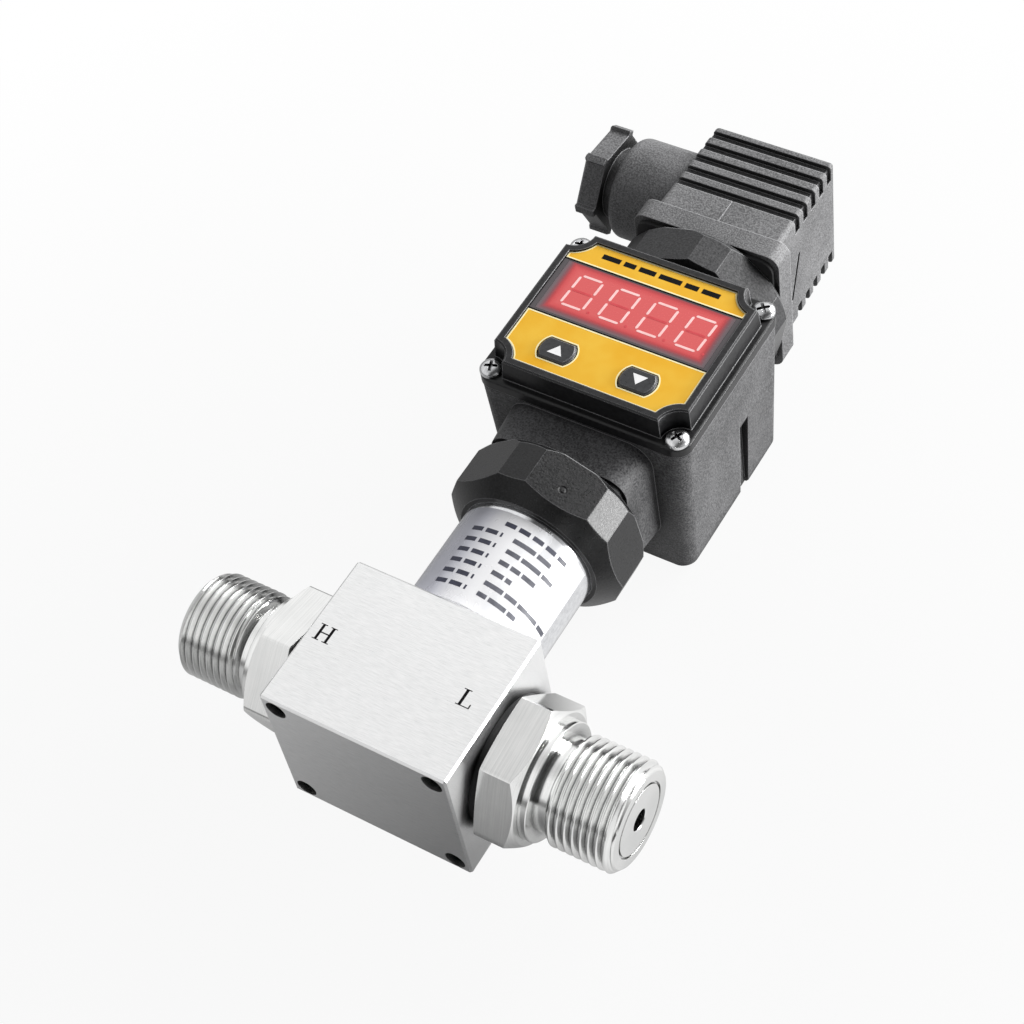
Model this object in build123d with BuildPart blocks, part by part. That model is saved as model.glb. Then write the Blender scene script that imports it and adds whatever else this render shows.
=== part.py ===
"""Differential pressure transmitter with a plug-in display head and an angled cable plug.

Frame: X runs from the high port to the low port, Y runs from the mounting face of the steel
block to the cable plug, and Z points out of the display. The origin is the centre of the
mounting face. All sizes are in millimetres.
"""
from build123d import *
from math import cos, radians, sin, tan
import os

os.makedirs("parts", exist_ok=True)

# Steel block
block_width = 37.0
block_length = 30.6
block_height = 31.1
block_edge = 0.4
port_y = 15.3
mount_hole_r = 2.0
mount_hole_depth = 9.0
mount_spacing_x = 31.0
mount_spacing_z = 26.0
tube_register_depth = 2.5
lead_passage_r = 3.5

# Port fittings, measured outwards from the block's side face
port_seal_thickness = 1.4
port_seal_r = 11.9
fitting_hex_flats = 24.5
fitting_hex_length = 7.3
fitting_hex_land_r = 12.0
collar_r = 10.9
collar_length = 1.6
relief_r = 8.6
relief_length = 2.2
port_thread_r = 10.0
port_thread_length = 13.2
port_thread_lead = 1.2
port_bore_r = 2.0
end_groove_r = 6.5
end_groove_width = 0.5
end_groove_depth = 0.4
spigot_r = 10.0
spigot_length = 8.8
high_hex_turn = 47.0
low_hex_turn = 67.5
turned_chamfer_angle = 30.0

# Measuring cell between the two fittings
cell_r = 8.95
cell_length = 11.0
cell_dish_r = 5.6
cell_dish_depth = 0.5
cell_seal_r = 7.4
cell_seal_section = 2.0
header_r = 2.8
header_length = 1.4
lead_r = 0.35
lead_pitch = 1.3
lead_count = 4

# Tube with its printed foil and the amplifier board inside
tube_r = 13.05
tube_wall = 1.0
tube_visible_length = 22.9
foil_gap = 0.02
foil_thickness = 0.1
foil_margin = 1.3
foil_start_angle = 12.0
foil_end_angle = 192.0
board_side_gap = 0.3
amplifier_board_length = 18.0
board_thickness = 1.6
board_part_x = 4.5
amplifier_chip_width = 6.0
amplifier_chip_length = 5.0
amplifier_chip_height = 1.8
amplifier_chip_y = -3.0
converter_chip_size = 4.4
converter_chip_y = -4.0
capacitor_r = 2.4
capacitor_height = 4.4
capacitor_y = 4.0
coil_size = 4.4
coil_height = 3.0

# Twelve-sided plug base, used under and above the display head
base_flats = 33.6
base_corner_half_angle = 9.3
base_length = 11.7
base_front_land_r = 14.1
base_front_cone_length = 3.0
base_back_land_r = 17.1
base_back_cone_length = 1.2
base_tail_length = 3.6
base_tail_wall = 2.0
base_floor_length = 4.6
base_boss_r = 4.6
lower_base_turn = 68.7
upper_base_turn = 107.0
upper_base_length = 10.2
upper_base_front_cone_length = 2.6
upper_base_front_land_r = 12.8
upper_spigot_r = 11.0

# Flat contact blades, threaded inserts and the screws that go through them
blade_thickness = 0.8
blade_width = 5.0
lower_blade_radius = 8.6
upper_blade_wall_gap = 2.2
lower_blade_reach = 7.8
upper_blade_reach = 9.8
upper_blade_tail = 4.2
insert_r = 2.8
insert_length = 5.2
screw_r = 1.45
screw_head_r = 2.8
screw_head_length = 2.4
screw_recess_width = 0.8
screw_recess_depth = 1.2
contact_wall = 0.8
contact_proud = 1.0

# Gaskets
gasket_thickness = 1.0
gasket_margin = 1.0
upper_gasket_thickness = 0.8

# Display housing
plinth_length = 8.2
plinth_width = 29.8
plinth_height = 27.0
plinth_corner_r = 5.0
plinth_draft = 5.0
box_width = 43.0
box_length = 37.2
box_top_z = 13.6
box_bottom_z = -21.0
box_taper_x = 1.4
box_taper_y = 0.4
box_corner_r = 3.0
box_wall = 2.3
box_side_wall = 3.0
box_floor = 2.2
box_bottom_edge = 0.7
slot_width = 3.2
slot_depth = 0.8
slot_y = 3.8
slot_top_z = -0.3
pillar_r = 2.7
board_post_r = 1.7
board_post_inset = 1.9
driver_post_x = 9.5
driver_post_y = 8.5

# Cover with its raised frame
cover_overhang = 0.2
cover_seal_thickness = 0.5
cover_seal_width = 1.4
cover_flange_thickness = 2.3
cover_flange_round = 0.5
cover_screw_inset_x = 2.5
cover_screw_inset_y = 2.4
cover_screw_r = 1.1
cover_screw_length = 9.0
cover_screw_head_r = 2.2
cover_screw_head_height = 1.3
cover_screw_head_edge = 0.6
frame_ledge_x = 1.7
frame_ledge_y = 1.8
frame_height = 4.5
frame_draft = 4.0
frame_notch_r = 4.0
frame_edge = 0.3
rim_width = 1.6
rim_height = 0.4
cover_skin = 1.2
cover_inner_margin = 2.6

# Face sheet, window and buttons, measured from the centre of the display head
overlay_thickness = 0.3
fit_gap = 0.1
window_side_margin = 1.0
window_length = 12.6
window_thickness = 0.6
window_y = 3.4
window_lip = 0.6
button_x = 8.3
button_frame_gap = 6.6
button_r = 3.55
button_half_height = 2.45
button_gap = 0.2
button_proud = 0.4
button_flange_margin = 0.6
button_flange_thickness = 0.8
button_rest_gap = 0.05
button_stem_r = 1.2
button_travel = 0.5
button_edge = 0.35

# Display electronics
led_side_gap = 1.05
led_end_gap = 0.2
led_height = 7.0
led_gap = 0.3
display_board_gap = 1.8
driver_board_width = 24.0
driver_board_length = 22.0
driver_board_z = -3.0
switch_size = 4.5
switch_height = 3.0
switch_plunger_r = 1.1
switch_plunger_height = 0.8
header_width = 2.5
header_span = 20.0
header_offset_y = -5.0

# Cable plug
skirt_length = 4.6
skirt_width = 31.0
skirt_height = 30.6
skirt_corner_r = 2.6
plug_length = 24.4
plug_width = 26.4
plug_height = 27.8
plug_corner_r = 1.2
plug_draft = 1.2
plug_back_round = 0.9
plug_wall = 2.4
plug_back_wall = 3.0
rib_start = 6.9
rib_pitch = 3.5
rib_groove_width = 1.9
rib_groove_depth = 1.1
rib_count = 5
rib_side_reach = 3.6
rib_side_depth = 0.8
seam_width = 0.4
seam_depth = 0.25
side_slot_width = 0.9
side_slot_depth = 1.0
side_slot_top_y = 7.9
side_slot_bottom_y = 4.2
side_slot_top_z = 4.0
side_slot_bottom_z = -6.4
insert_block_length = 14.4
insert_block_gap = 0.15
terminal_length = 8.0
terminal_screw_r = 1.1
terminal_screw_length = 3.0
head_counterbore_r = 3.3
head_counterbore_depth = 1.6
head_seal_thickness = 0.6

# Cable gland on the side of the plug
gland_y = 18.5
gland_r = 10.4
gland_length = 14.6
gland_end_round = 1.8
gland_bore_r = 7.3
gland_running_gap = 0.08
gland_seal_length = 5.0
gland_seal_bore_r = 3.6
thrust_ring_thickness = 1.2
gland_nut_flats = 18.0
gland_nut_length = 4.6
gland_nut_gap = 2.4
gland_nut_bore_r = 4.6
gland_nut_turn = 54.0
gland_nut_ridge = 0.5
gland_nut_ridge_width = 1.6
gland_nut_neck = 7.0

# Stations along Y, from the mounting face
base_front_y = block_length + tube_visible_length
base_back_y = base_front_y + base_length
plinth_front_y = base_back_y + gasket_thickness
box_front_y = plinth_front_y + plinth_length
box_back_y = box_front_y + box_length
head_y = (box_front_y + box_back_y) / 2
upper_back_y = box_back_y + upper_base_length
skirt_front_y = upper_back_y + upper_gasket_thickness
plug_front_y = skirt_front_y + skirt_length
plug_back_y = plug_front_y + plug_length

# Sizes of the display head that follow from the box
flange_width = box_width + 2 * cover_overhang
flange_length = box_length + 2 * cover_overhang
cover_screw_x = flange_width / 2 - cover_screw_inset_x
cover_screw_y = flange_length / 2 - cover_screw_inset_y
frame_width = flange_width - 2 * frame_ledge_x
frame_length = flange_length - 2 * frame_ledge_y
window_width = frame_width - 2 * (rim_width + window_side_margin)
led_width = window_width - 2 * (window_lip + led_side_gap)
led_length = window_length - 2 * (window_lip + led_end_gap)
button_y = button_frame_gap - frame_length / 2
button_places = [(-button_x, head_y + button_y), (button_x, head_y + button_y)]
cavity_width = box_width - 2 * box_side_wall
cavity_length = box_length - 2 * box_wall
display_board_width = cavity_width - 2 * display_board_gap
display_board_length = cavity_length - 2 * display_board_gap
board_post_x = display_board_width / 2 - board_post_inset
board_post_y = display_board_length / 2 - board_post_inset

# Stations along Z, in the display head
flange_bottom_z = box_top_z + cover_seal_thickness
flange_top_z = flange_bottom_z + cover_flange_thickness
rim_top_z = flange_top_z + frame_height
overlay_top_z = rim_top_z - rim_height
overlay_bottom_z = overlay_top_z - overlay_thickness
skin_bottom_z = overlay_bottom_z - cover_skin
window_bottom_z = overlay_top_z - window_thickness
led_top_z = window_bottom_z - led_gap
display_board_top_z = led_top_z - led_height

# Stations along X, from the centre of the block to the end of a port
side_face_x = block_width / 2
hex_inner_x = side_face_x + port_seal_thickness
hex_outer_x = hex_inner_x + fitting_hex_length
collar_outer_x = hex_outer_x + collar_length
relief_outer_x = collar_outer_x + relief_length
port_end_x = relief_outer_x + port_thread_length
spigot_end_x = side_face_x - spigot_length
pilot_end_x = cell_length / 2 + cell_seal_section
thread_gap = 0.05
register_gap = 0.05

# Radii that follow from a fit
cell_bore_r = cell_r + thread_gap
pilot_r = cell_r
tube_inner_r = tube_r - tube_wall
tail_r = tube_inner_r - register_gap
tail_inner_r = tail_r - base_tail_wall
amplifier_board_width = 2 * (tail_inner_r - board_side_gap)
tube_end_y = base_back_y - base_floor_length
tail_front_y = base_front_y - base_tail_length
upper_blade_radius = plug_width / 2 - plug_wall - upper_blade_wall_gap
port_axis = Axis((0, port_y, 0), (1, 0, 0))
gland_axis_y = plug_front_y + gland_y - skirt_length


def finish_piece(piece, name):
    """Names a finished piece and writes it."""
    piece.part.label = name
    export_step(piece.part, f"parts/{name}.step")


def across(y):
    """A plane square to Y at the given station, facing +Y, with X across and Z up it."""
    return Plane(origin=(0, y, 0), x_dir=(-1, 0, 0), z_dir=(0, 1, 0))


def facing_front(y):
    """A plane square to Y at the given station, facing -Y, with X to the right and Z up."""
    return Plane(origin=(0, y, 0), x_dir=(1, 0, 0), z_dir=(0, -1, 0))


def facing_side(x, side):
    """A plane square to X that faces outwards on the side given by +1 or -1."""
    return Plane(origin=(x, 0, 0), x_dir=(0, side, 0), z_dir=(side, 0, 0))


def port_profile_plane(side):
    """The plane for a fitting's turned profile: outwards along X, and radius along Z."""
    return Plane(origin=(0, port_y, 0), x_dir=(side, 0, 0), z_dir=(0, -side, 0))


def twelve_sided_outline(turn):
    """Corners of a hexagon with its corners cut off, its first wide flat facing the turn angle."""
    wide_half_angle = 30 - base_corner_half_angle
    corner_r = base_flats / 2 / cos(radians(wide_half_angle))
    corners = []
    for flat in range(6):
        for side in (-1, 1):
            angle = radians(turn + 60 * flat + side * wide_half_angle)
            corners.append((corner_r * cos(angle), corner_r * sin(angle)))
    return corners


# The block: cross bore for the measuring cell, threaded bores for the fittings, tapped holes
with BuildPart() as manifold_block:
    with BuildSketch(facing_front(0)):
        Rectangle(block_width, block_height)
    extrude(amount=-block_length)
    chamfer(manifold_block.edges(), block_edge)
    for side in (-1, 1):
        with BuildSketch(facing_side(side * side_face_x, side)):
            with Locations((side * port_y, 0)):
                Circle(spigot_r + thread_gap)
        extrude(amount=-spigot_length - 2 * thread_gap, mode=Mode.SUBTRACT)
    with BuildSketch(facing_side(0, 1)):
        with Locations((port_y, 0)):
            Circle(cell_bore_r)
    extrude(amount=side_face_x - block_edge, both=True, mode=Mode.SUBTRACT)
    with BuildSketch(facing_front(0)):
        with GridLocations(mount_spacing_x, mount_spacing_z, 2, 2):
            Circle(mount_hole_r)
    extrude(amount=-mount_hole_depth, mode=Mode.SUBTRACT)
    with BuildSketch(across(block_length)):
        Circle(tube_r + register_gap)
    extrude(amount=-tube_register_depth, mode=Mode.SUBTRACT)
    with BuildSketch(across(block_length)):
        Circle(lead_passage_r)
    extrude(amount=port_y - block_length, mode=Mode.SUBTRACT)
finish_piece(manifold_block, "manifold_block")


def build_port_fitting(name, side, hex_turn):
    """A hexagon fitting: spigot and pilot into the block, collar, relief and port thread."""
    corner_r = fitting_hex_flats / 2 / cos(radians(30))
    chamfer_run = (corner_r - fitting_hex_land_r) * tan(radians(turned_chamfer_angle))
    with BuildPart() as port_fitting:
        with BuildSketch(facing_side(side * hex_inner_x, side)):
            with Locations((side * port_y, 0)):
                RegularPolygon(fitting_hex_flats / 2, 6, major_radius=False, rotation=side * hex_turn)
        extrude(amount=fitting_hex_length)
        with BuildSketch(port_profile_plane(side)):
            with BuildLine():
                Polyline(
                    (hex_inner_x, 0),
                    (hex_inner_x, fitting_hex_land_r),
                    (hex_inner_x + chamfer_run, corner_r),
                    (hex_outer_x - chamfer_run, corner_r),
                    (hex_outer_x, fitting_hex_land_r),
                    (hex_outer_x, 0),
                    close=True,
                )
            make_face()
        revolve(axis=port_axis, mode=Mode.INTERSECT)
        with BuildSketch(port_profile_plane(side)):
            with BuildLine():
                Polyline(
                    (pilot_end_x, port_bore_r),
                    (pilot_end_x, pilot_r),
                    (spigot_end_x, pilot_r),
                    (spigot_end_x, spigot_r),
                    (hex_inner_x, spigot_r),
                    (hex_outer_x, collar_r),
                    (collar_outer_x, collar_r),
                    (collar_outer_x, relief_r),
                    (relief_outer_x, relief_r),
                    (relief_outer_x, port_thread_r),
                    (port_end_x - port_thread_lead, port_thread_r),
                    (port_end_x, port_thread_r - port_thread_lead),
                    (port_end_x, end_groove_r + end_groove_width),
                    (port_end_x - end_groove_depth, end_groove_r + end_groove_width),
                    (port_end_x - end_groove_depth, end_groove_r),
                    (port_end_x, end_groove_r),
                    (port_end_x, port_bore_r),
                    close=True,
                )
            make_face()
        revolve(axis=port_axis)
        with BuildSketch(facing_side(side * port_end_x, side)):
            with Locations((side * port_y, 0)):
                Circle(port_bore_r)
        extrude(amount=pilot_end_x - port_end_x, mode=Mode.SUBTRACT)
    finish_piece(port_fitting, name)


def build_port_seal(name, side):
    """The flat sealing ring between a fitting's hexagon and the block."""
    with BuildPart() as port_seal:
        with BuildSketch(facing_side(side * side_face_x, side)):
            with Locations((side * port_y, 0)):
                Circle(port_seal_r)
                Circle(spigot_r + thread_gap, mode=Mode.SUBTRACT)
        extrude(amount=port_seal_thickness)
    finish_piece(port_seal, name)


for port_name, port_side, port_hex_turn in (("high", -1, high_hex_turn), ("low", 1, low_hex_turn)):
    build_port_fitting(f"{port_name}_port_fitting", port_side, port_hex_turn)
    build_port_seal(f"{port_name}_port_seal", port_side)

# The measuring cell, with a dished face to each port and a flat for its header
header_seat_y = port_y + cell_r - header_length
with BuildPart() as sensor_cell:
    with BuildSketch(facing_side(0, 1)):
        with Locations((port_y, 0)):
            Circle(cell_r)
    extrude(amount=cell_length / 2, both=True)
    for side in (-1, 1):
        with BuildSketch(facing_side(side * cell_length / 2, side)):
            with Locations((side * port_y, 0)):
                Circle(cell_dish_r)
        extrude(amount=-cell_dish_depth, mode=Mode.SUBTRACT)
    with BuildSketch(across(port_y + cell_r)):
        Circle(header_r)
    extrude(amount=-header_length, mode=Mode.SUBTRACT)
finish_piece(sensor_cell, "sensor_cell")

with BuildPart() as cell_seals:
    for side in (-1, 1):
        seal_x = side * (cell_length + cell_seal_section) / 2
        with BuildSketch(port_profile_plane(1)):
            with Locations((seal_x, cell_seal_r)):
                Rectangle(cell_seal_section, cell_seal_section)
        revolve(axis=port_axis)
finish_piece(cell_seals, "cell_seals")

with BuildPart() as cell_header:
    with BuildSketch(across(header_seat_y)):
        Circle(header_r)
    extrude(amount=header_length)
finish_piece(cell_header, "cell_header")

# Stations of the amplifier board, which ends on the boss inside the lower plug base
board_end_y = tube_end_y - base_tail_length
board_start_y = board_end_y - amplifier_board_length

with BuildPart() as cell_leads:
    with BuildSketch(across(header_seat_y + header_length)):
        with GridLocations(lead_pitch, 0, lead_count, 1):
            Circle(lead_r)
    extrude(amount=board_start_y - header_seat_y - header_length)
finish_piece(cell_leads, "cell_leads")

# The tube stands in the block's register and ends against the plug base's floor
with BuildPart() as sensor_tube:
    with BuildSketch(across(block_length - tube_register_depth)):
        Circle(tube_r)
        Circle(tube_inner_r, mode=Mode.SUBTRACT)
    extrude(amount=tube_end_y - block_length + tube_register_depth)
finish_piece(sensor_tube, "sensor_tube")

with BuildPart() as tube_foil:
    with BuildSketch(facing_front(block_length + foil_margin)):
        with BuildLine():
            foil_outer = CenterArc((0, 0), tube_r + foil_gap + foil_thickness, foil_start_angle,
                                   foil_end_angle - foil_start_angle)
            foil_inner = CenterArc((0, 0), tube_r + foil_gap, foil_start_angle,
                                   foil_end_angle - foil_start_angle)
            Line(foil_outer @ 0, foil_inner @ 0)
            Line(foil_outer @ 1, foil_inner @ 1)
        make_face()
    extrude(amount=-(tube_visible_length - 2 * foil_margin))
finish_piece(tube_foil, "tube_foil")

with BuildPart() as amplifier_board:
    with BuildSketch(across(board_start_y)):
        Rectangle(amplifier_board_width, board_thickness)
    extrude(amount=amplifier_board_length)
finish_piece(amplifier_board, "amplifier_board")

with BuildPart() as amplifier_parts:
    board_middle_y = board_start_y + amplifier_board_length / 2
    with BuildSketch(Plane.XY.offset(board_thickness / 2)):
        with Locations((-board_part_x, board_middle_y + amplifier_chip_y)):
            Rectangle(amplifier_chip_width, amplifier_chip_length)
        with Locations((board_part_x, board_middle_y + converter_chip_y)):
            Rectangle(converter_chip_size, converter_chip_size)
    extrude(amount=amplifier_chip_height)
    with BuildSketch(Plane.XY.offset(board_thickness / 2)):
        with Locations((board_part_x, board_middle_y + capacitor_y)):
            Circle(capacitor_r)
    extrude(amount=capacitor_height)
    with BuildSketch(Plane.XY.offset(-board_thickness / 2)):
        with Locations((-board_part_x, board_middle_y), (board_part_x, board_middle_y)):
            Rectangle(coil_size, coil_size)
    extrude(amount=-coil_height)
finish_piece(amplifier_parts, "amplifier_parts")


def lower_blade_places():
    """The lower plug's four contact blades, which stand round its screw."""
    return PolarLocations(lower_blade_radius, 4)


def upper_blade_places():
    """The upper plug's four contact blades, which stand round its screw."""
    return PolarLocations(upper_blade_radius, 4)


# The lower plug base: a twelve-sided collar over the tube, with a tail inside it
with BuildPart() as lower_plug_base:
    base_corner_r = base_flats / 2 / cos(radians(30 - base_corner_half_angle))
    with BuildSketch(facing_front(base_front_y)):
        with BuildLine():
            Polyline(*twelve_sided_outline(lower_base_turn), close=True)
        make_face()
    extrude(amount=-base_length)
    with BuildSketch(Plane.XY):
        with BuildLine():
            Polyline(
                (0, base_front_y),
                (base_front_land_r, base_front_y),
                (base_corner_r, base_front_y + base_front_cone_length),
                (base_corner_r, base_back_y - base_back_cone_length),
                (base_back_land_r, base_back_y),
                (0, base_back_y),
                close=True,
            )
        make_face()
    revolve(axis=Axis.Y, mode=Mode.INTERSECT)
    with BuildSketch(across(base_front_y)):
        Circle(tube_r + register_gap)
    extrude(amount=tube_end_y - base_front_y, mode=Mode.SUBTRACT)
    with BuildSketch(across(tail_front_y)):
        Circle(tail_r)
        Circle(tail_inner_r, mode=Mode.SUBTRACT)
    extrude(amount=tube_end_y - tail_front_y)
    with BuildSketch(across(board_end_y)):
        Circle(base_boss_r)
    extrude(amount=tube_end_y - board_end_y)
    with BuildSketch(across(base_back_y)):
        Circle(insert_r)
    extrude(amount=-insert_length, mode=Mode.SUBTRACT)
    with BuildSketch(across(base_back_y)):
        with lower_blade_places():
            Rectangle(blade_thickness, blade_width)
    extrude(amount=-base_floor_length, mode=Mode.SUBTRACT)
finish_piece(lower_plug_base, "lower_plug_base")


def build_threaded_insert(name, back_y):
    """A brass bush moulded in flush with the face at the given station."""
    with BuildPart() as threaded_insert:
        with BuildSketch(across(back_y)):
            Circle(insert_r)
            Circle(screw_r + thread_gap, mode=Mode.SUBTRACT)
        extrude(amount=-insert_length)
    finish_piece(threaded_insert, name)


def build_blades(name, places, start_y, end_y):
    """Four flat contact blades."""
    with BuildPart() as blades:
        with BuildSketch(across(start_y)):
            with places:
                Rectangle(blade_thickness, blade_width)
        extrude(amount=end_y - start_y)
    finish_piece(blades, name)


build_threaded_insert("lower_plug_insert", base_back_y)
build_blades("lower_plug_pins", lower_blade_places(), board_end_y, plinth_front_y + lower_blade_reach)

with BuildPart() as lower_gasket:
    with BuildSketch(across(base_back_y)):
        gasket_shrink = 2 * (plinth_length * tan(radians(plinth_draft)) + gasket_margin)
        RectangleRounded(plinth_width - gasket_shrink, plinth_height - gasket_shrink, plinth_corner_r / 2)
        with lower_blade_places():
            Rectangle(blade_thickness, blade_width, mode=Mode.SUBTRACT)
        Circle(screw_r + thread_gap, mode=Mode.SUBTRACT)
    extrude(amount=gasket_thickness)
finish_piece(lower_gasket, "lower_gasket")

# The display housing: a square plinth on the plug base, and a deep box open to the cover
cavity_bottom_z = box_bottom_z + box_floor
display_board_bottom_z = display_board_top_z - board_thickness
contact_width = blade_width + 2 * contact_wall
contact_thickness = blade_thickness + 2 * contact_wall
contact_end_y = box_front_y + box_wall + contact_proud

with BuildPart() as display_housing:
    with BuildSketch(Plane.XY.offset(box_top_z)):
        with Locations((0, head_y)):
            RectangleRounded(box_width, box_length, box_corner_r)
    with BuildSketch(Plane.XY.offset(box_bottom_z)):
        with Locations((0, head_y)):
            RectangleRounded(box_width - 2 * box_taper_x, box_length - 2 * box_taper_y, box_corner_r)
    loft()
    chamfer(display_housing.faces().sort_by(Axis.Z)[0].edges(), box_bottom_edge)
    with BuildSketch(facing_front(box_front_y + box_wall / 2)):
        RectangleRounded(plinth_width, plinth_height, plinth_corner_r)
    extrude(amount=plinth_length + box_wall / 2, taper=plinth_draft)
    with BuildSketch(Plane.XY.offset(box_top_z)):
        with Locations((0, head_y)):
            RectangleRounded(cavity_width, cavity_length, box_corner_r - box_wall / 2)
            with GridLocations(2 * cover_screw_x, 2 * cover_screw_y, 2, 2):
                Circle(pillar_r, mode=Mode.SUBTRACT)
    extrude(amount=cavity_bottom_z - box_top_z, mode=Mode.SUBTRACT)
    with BuildSketch(Plane.XY.offset(cavity_bottom_z)):
        with Locations((0, head_y)):
            with GridLocations(2 * board_post_x, 2 * board_post_y, 2, 2):
                Circle(board_post_r)
    extrude(amount=display_board_bottom_z - cavity_bottom_z)
    with BuildSketch(Plane.XY.offset(cavity_bottom_z)):
        with Locations((0, head_y)):
            with GridLocations(2 * driver_post_x, 2 * driver_post_y, 2, 2):
                Circle(board_post_r)
    extrude(amount=driver_board_z - cavity_bottom_z)
    with BuildSketch(Plane.XY.offset(box_top_z)):
        with Locations((0, head_y)):
            with GridLocations(2 * cover_screw_x, 2 * cover_screw_y, 2, 2):
                Circle(cover_screw_r + thread_gap)
    extrude(amount=-cover_screw_length, mode=Mode.SUBTRACT)
    with BuildSketch(across(plinth_front_y)):
        Circle(screw_r + fit_gap)
        with lower_blade_places():
            Rectangle(contact_thickness, contact_width)
    extrude(amount=plinth_length + box_wall + fit_gap, mode=Mode.SUBTRACT)
    with BuildSketch(across(box_back_y + fit_gap)):
        Circle(upper_spigot_r + register_gap)
    extrude(amount=-box_wall - 2 * fit_gap, mode=Mode.SUBTRACT)
    slot_length = slot_top_z - box_bottom_z
    for side in (-1, 1):
        with BuildSketch(facing_side(side * (box_width / 2 - box_taper_x - slot_depth), side)):
            with Locations((side * (head_y + slot_y), slot_top_z - slot_length / 2)):
                Rectangle(slot_width, slot_length)
        extrude(amount=box_width, mode=Mode.SUBTRACT)
finish_piece(display_housing, "display_housing")

with BuildPart() as socket_contacts:
    with BuildSketch(across(plinth_front_y)):
        with lower_blade_places():
            Rectangle(contact_thickness, contact_width)
    extrude(amount=contact_end_y - plinth_front_y)
    with BuildSketch(across(plinth_front_y)):
        with lower_blade_places():
            Rectangle(blade_thickness + thread_gap, blade_width + thread_gap)
    extrude(amount=lower_blade_reach + thread_gap, mode=Mode.SUBTRACT)
finish_piece(socket_contacts, "socket_contacts")


def build_cap_screw(name, seat_y, tip_y):
    """A round-headed screw along Y: its head stands on the seat, and its tip is at the tip station."""
    with BuildPart() as cap_screw:
        with BuildSketch(across(seat_y)):
            Circle(screw_head_r)
        extrude(amount=screw_head_length)
        with BuildSketch(across(seat_y + screw_head_length)):
            Rectangle(2 * screw_head_r, screw_recess_width)
        extrude(amount=-screw_recess_depth, mode=Mode.SUBTRACT)
        with BuildSketch(across(tip_y)):
            Circle(screw_r)
        extrude(amount=seat_y - tip_y)
    finish_piece(cap_screw, name)


build_cap_screw("plinth_screw", box_front_y + box_wall, base_back_y - insert_length)

# The seal, the cover and its raised frame with a notch round each screw
with BuildPart() as cover_seal:
    with BuildSketch(Plane.XY.offset(box_top_z)):
        with Locations((0, head_y)):
            RectangleRounded(box_width, box_length, box_corner_r)
            RectangleRounded(
                box_width - 2 * cover_seal_width,
                box_length - 2 * cover_seal_width,
                box_corner_r - cover_seal_width / 2,
                mode=Mode.SUBTRACT,
            )
            with GridLocations(2 * cover_screw_x, 2 * cover_screw_y, 2, 2):
                Circle(cover_screw_r + fit_gap, mode=Mode.SUBTRACT)
    extrude(amount=cover_seal_thickness)
finish_piece(cover_seal, "cover_seal")


def notched_rectangle(inset):
    """Adds the frame's outline, drawn in by the inset, with a round notch out of each corner."""
    with Locations((0, head_y)):
        Rectangle(frame_width - 2 * inset, frame_length - 2 * inset)
        with GridLocations(frame_width, frame_length, 2, 2):
            Circle(frame_notch_r + inset, mode=Mode.SUBTRACT)


def button_outline(margin, places, mode=Mode.ADD):
    """Adds a button's outline, larger all round by the margin, with its top and bottom cut flat."""
    with BuildSketch(mode=Mode.PRIVATE) as outline:
        Circle(button_r + margin)
        Rectangle(2 * (button_r + margin), 2 * (button_half_height + margin), mode=Mode.INTERSECT)
    with Locations(*places):
        add(outline.sketch, mode=mode)


with BuildPart() as display_cover:
    with BuildSketch(Plane.XY.offset(flange_bottom_z)):
        with Locations((0, head_y)):
            RectangleRounded(flange_width, flange_length, box_corner_r + cover_overhang)
    extrude(amount=cover_flange_thickness)
    fillet(display_cover.faces().sort_by(Axis.Z)[-1].edges(), cover_flange_round)
    with BuildSketch(Plane.XY.offset(rim_top_z)):
        notched_rectangle(0)
    extrude(amount=-frame_height, taper=-frame_draft)
    chamfer(display_cover.faces().sort_by(Axis.Z)[-1].edges(), frame_edge)
    with BuildSketch(Plane.XY.offset(rim_top_z)):
        notched_rectangle(rim_width - fit_gap)
    extrude(amount=-rim_height - overlay_thickness, mode=Mode.SUBTRACT)
    with BuildSketch(Plane.XY.offset(flange_bottom_z)):
        notched_rectangle(cover_inner_margin)
    extrude(amount=skin_bottom_z - flange_bottom_z, mode=Mode.SUBTRACT)
    with BuildSketch(Plane.XY.offset(overlay_bottom_z)):
        with Locations((0, head_y + window_y)):
            Rectangle(window_width + fit_gap, window_length + fit_gap)
    extrude(amount=window_bottom_z - overlay_bottom_z, mode=Mode.SUBTRACT)
    with BuildSketch(Plane.XY.offset(overlay_bottom_z)):
        with Locations((0, head_y + window_y)):
            Rectangle(window_width - 2 * window_lip, window_length - 2 * window_lip)
        button_outline(button_gap, button_places)
    extrude(amount=-cover_skin, mode=Mode.SUBTRACT)
    with BuildSketch(Plane.XY.offset(flange_top_z)):
        with Locations((0, head_y)):
            with GridLocations(2 * cover_screw_x, 2 * cover_screw_y, 2, 2):
                Circle(cover_screw_r + fit_gap)
    extrude(amount=-cover_flange_thickness, mode=Mode.SUBTRACT)
finish_piece(display_cover, "display_cover")

with BuildPart() as cover_screws:
    with BuildSketch(Plane.XY.offset(flange_top_z)):
        with Locations((0, head_y)):
            with GridLocations(2 * cover_screw_x, 2 * cover_screw_y, 2, 2):
                Circle(cover_screw_head_r)
    extrude(amount=cover_screw_head_height)
    chamfer(cover_screws.faces().group_by(Axis.Z)[-1].edges(), cover_screw_head_edge)
    with BuildSketch(Plane.XY.offset(flange_top_z)):
        with Locations((0, head_y)):
            with GridLocations(2 * cover_screw_x, 2 * cover_screw_y, 2, 2):
                Circle(cover_screw_r)
    extrude(amount=box_top_z - cover_screw_length - flange_top_z)
finish_piece(cover_screws, "cover_screws")

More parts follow.
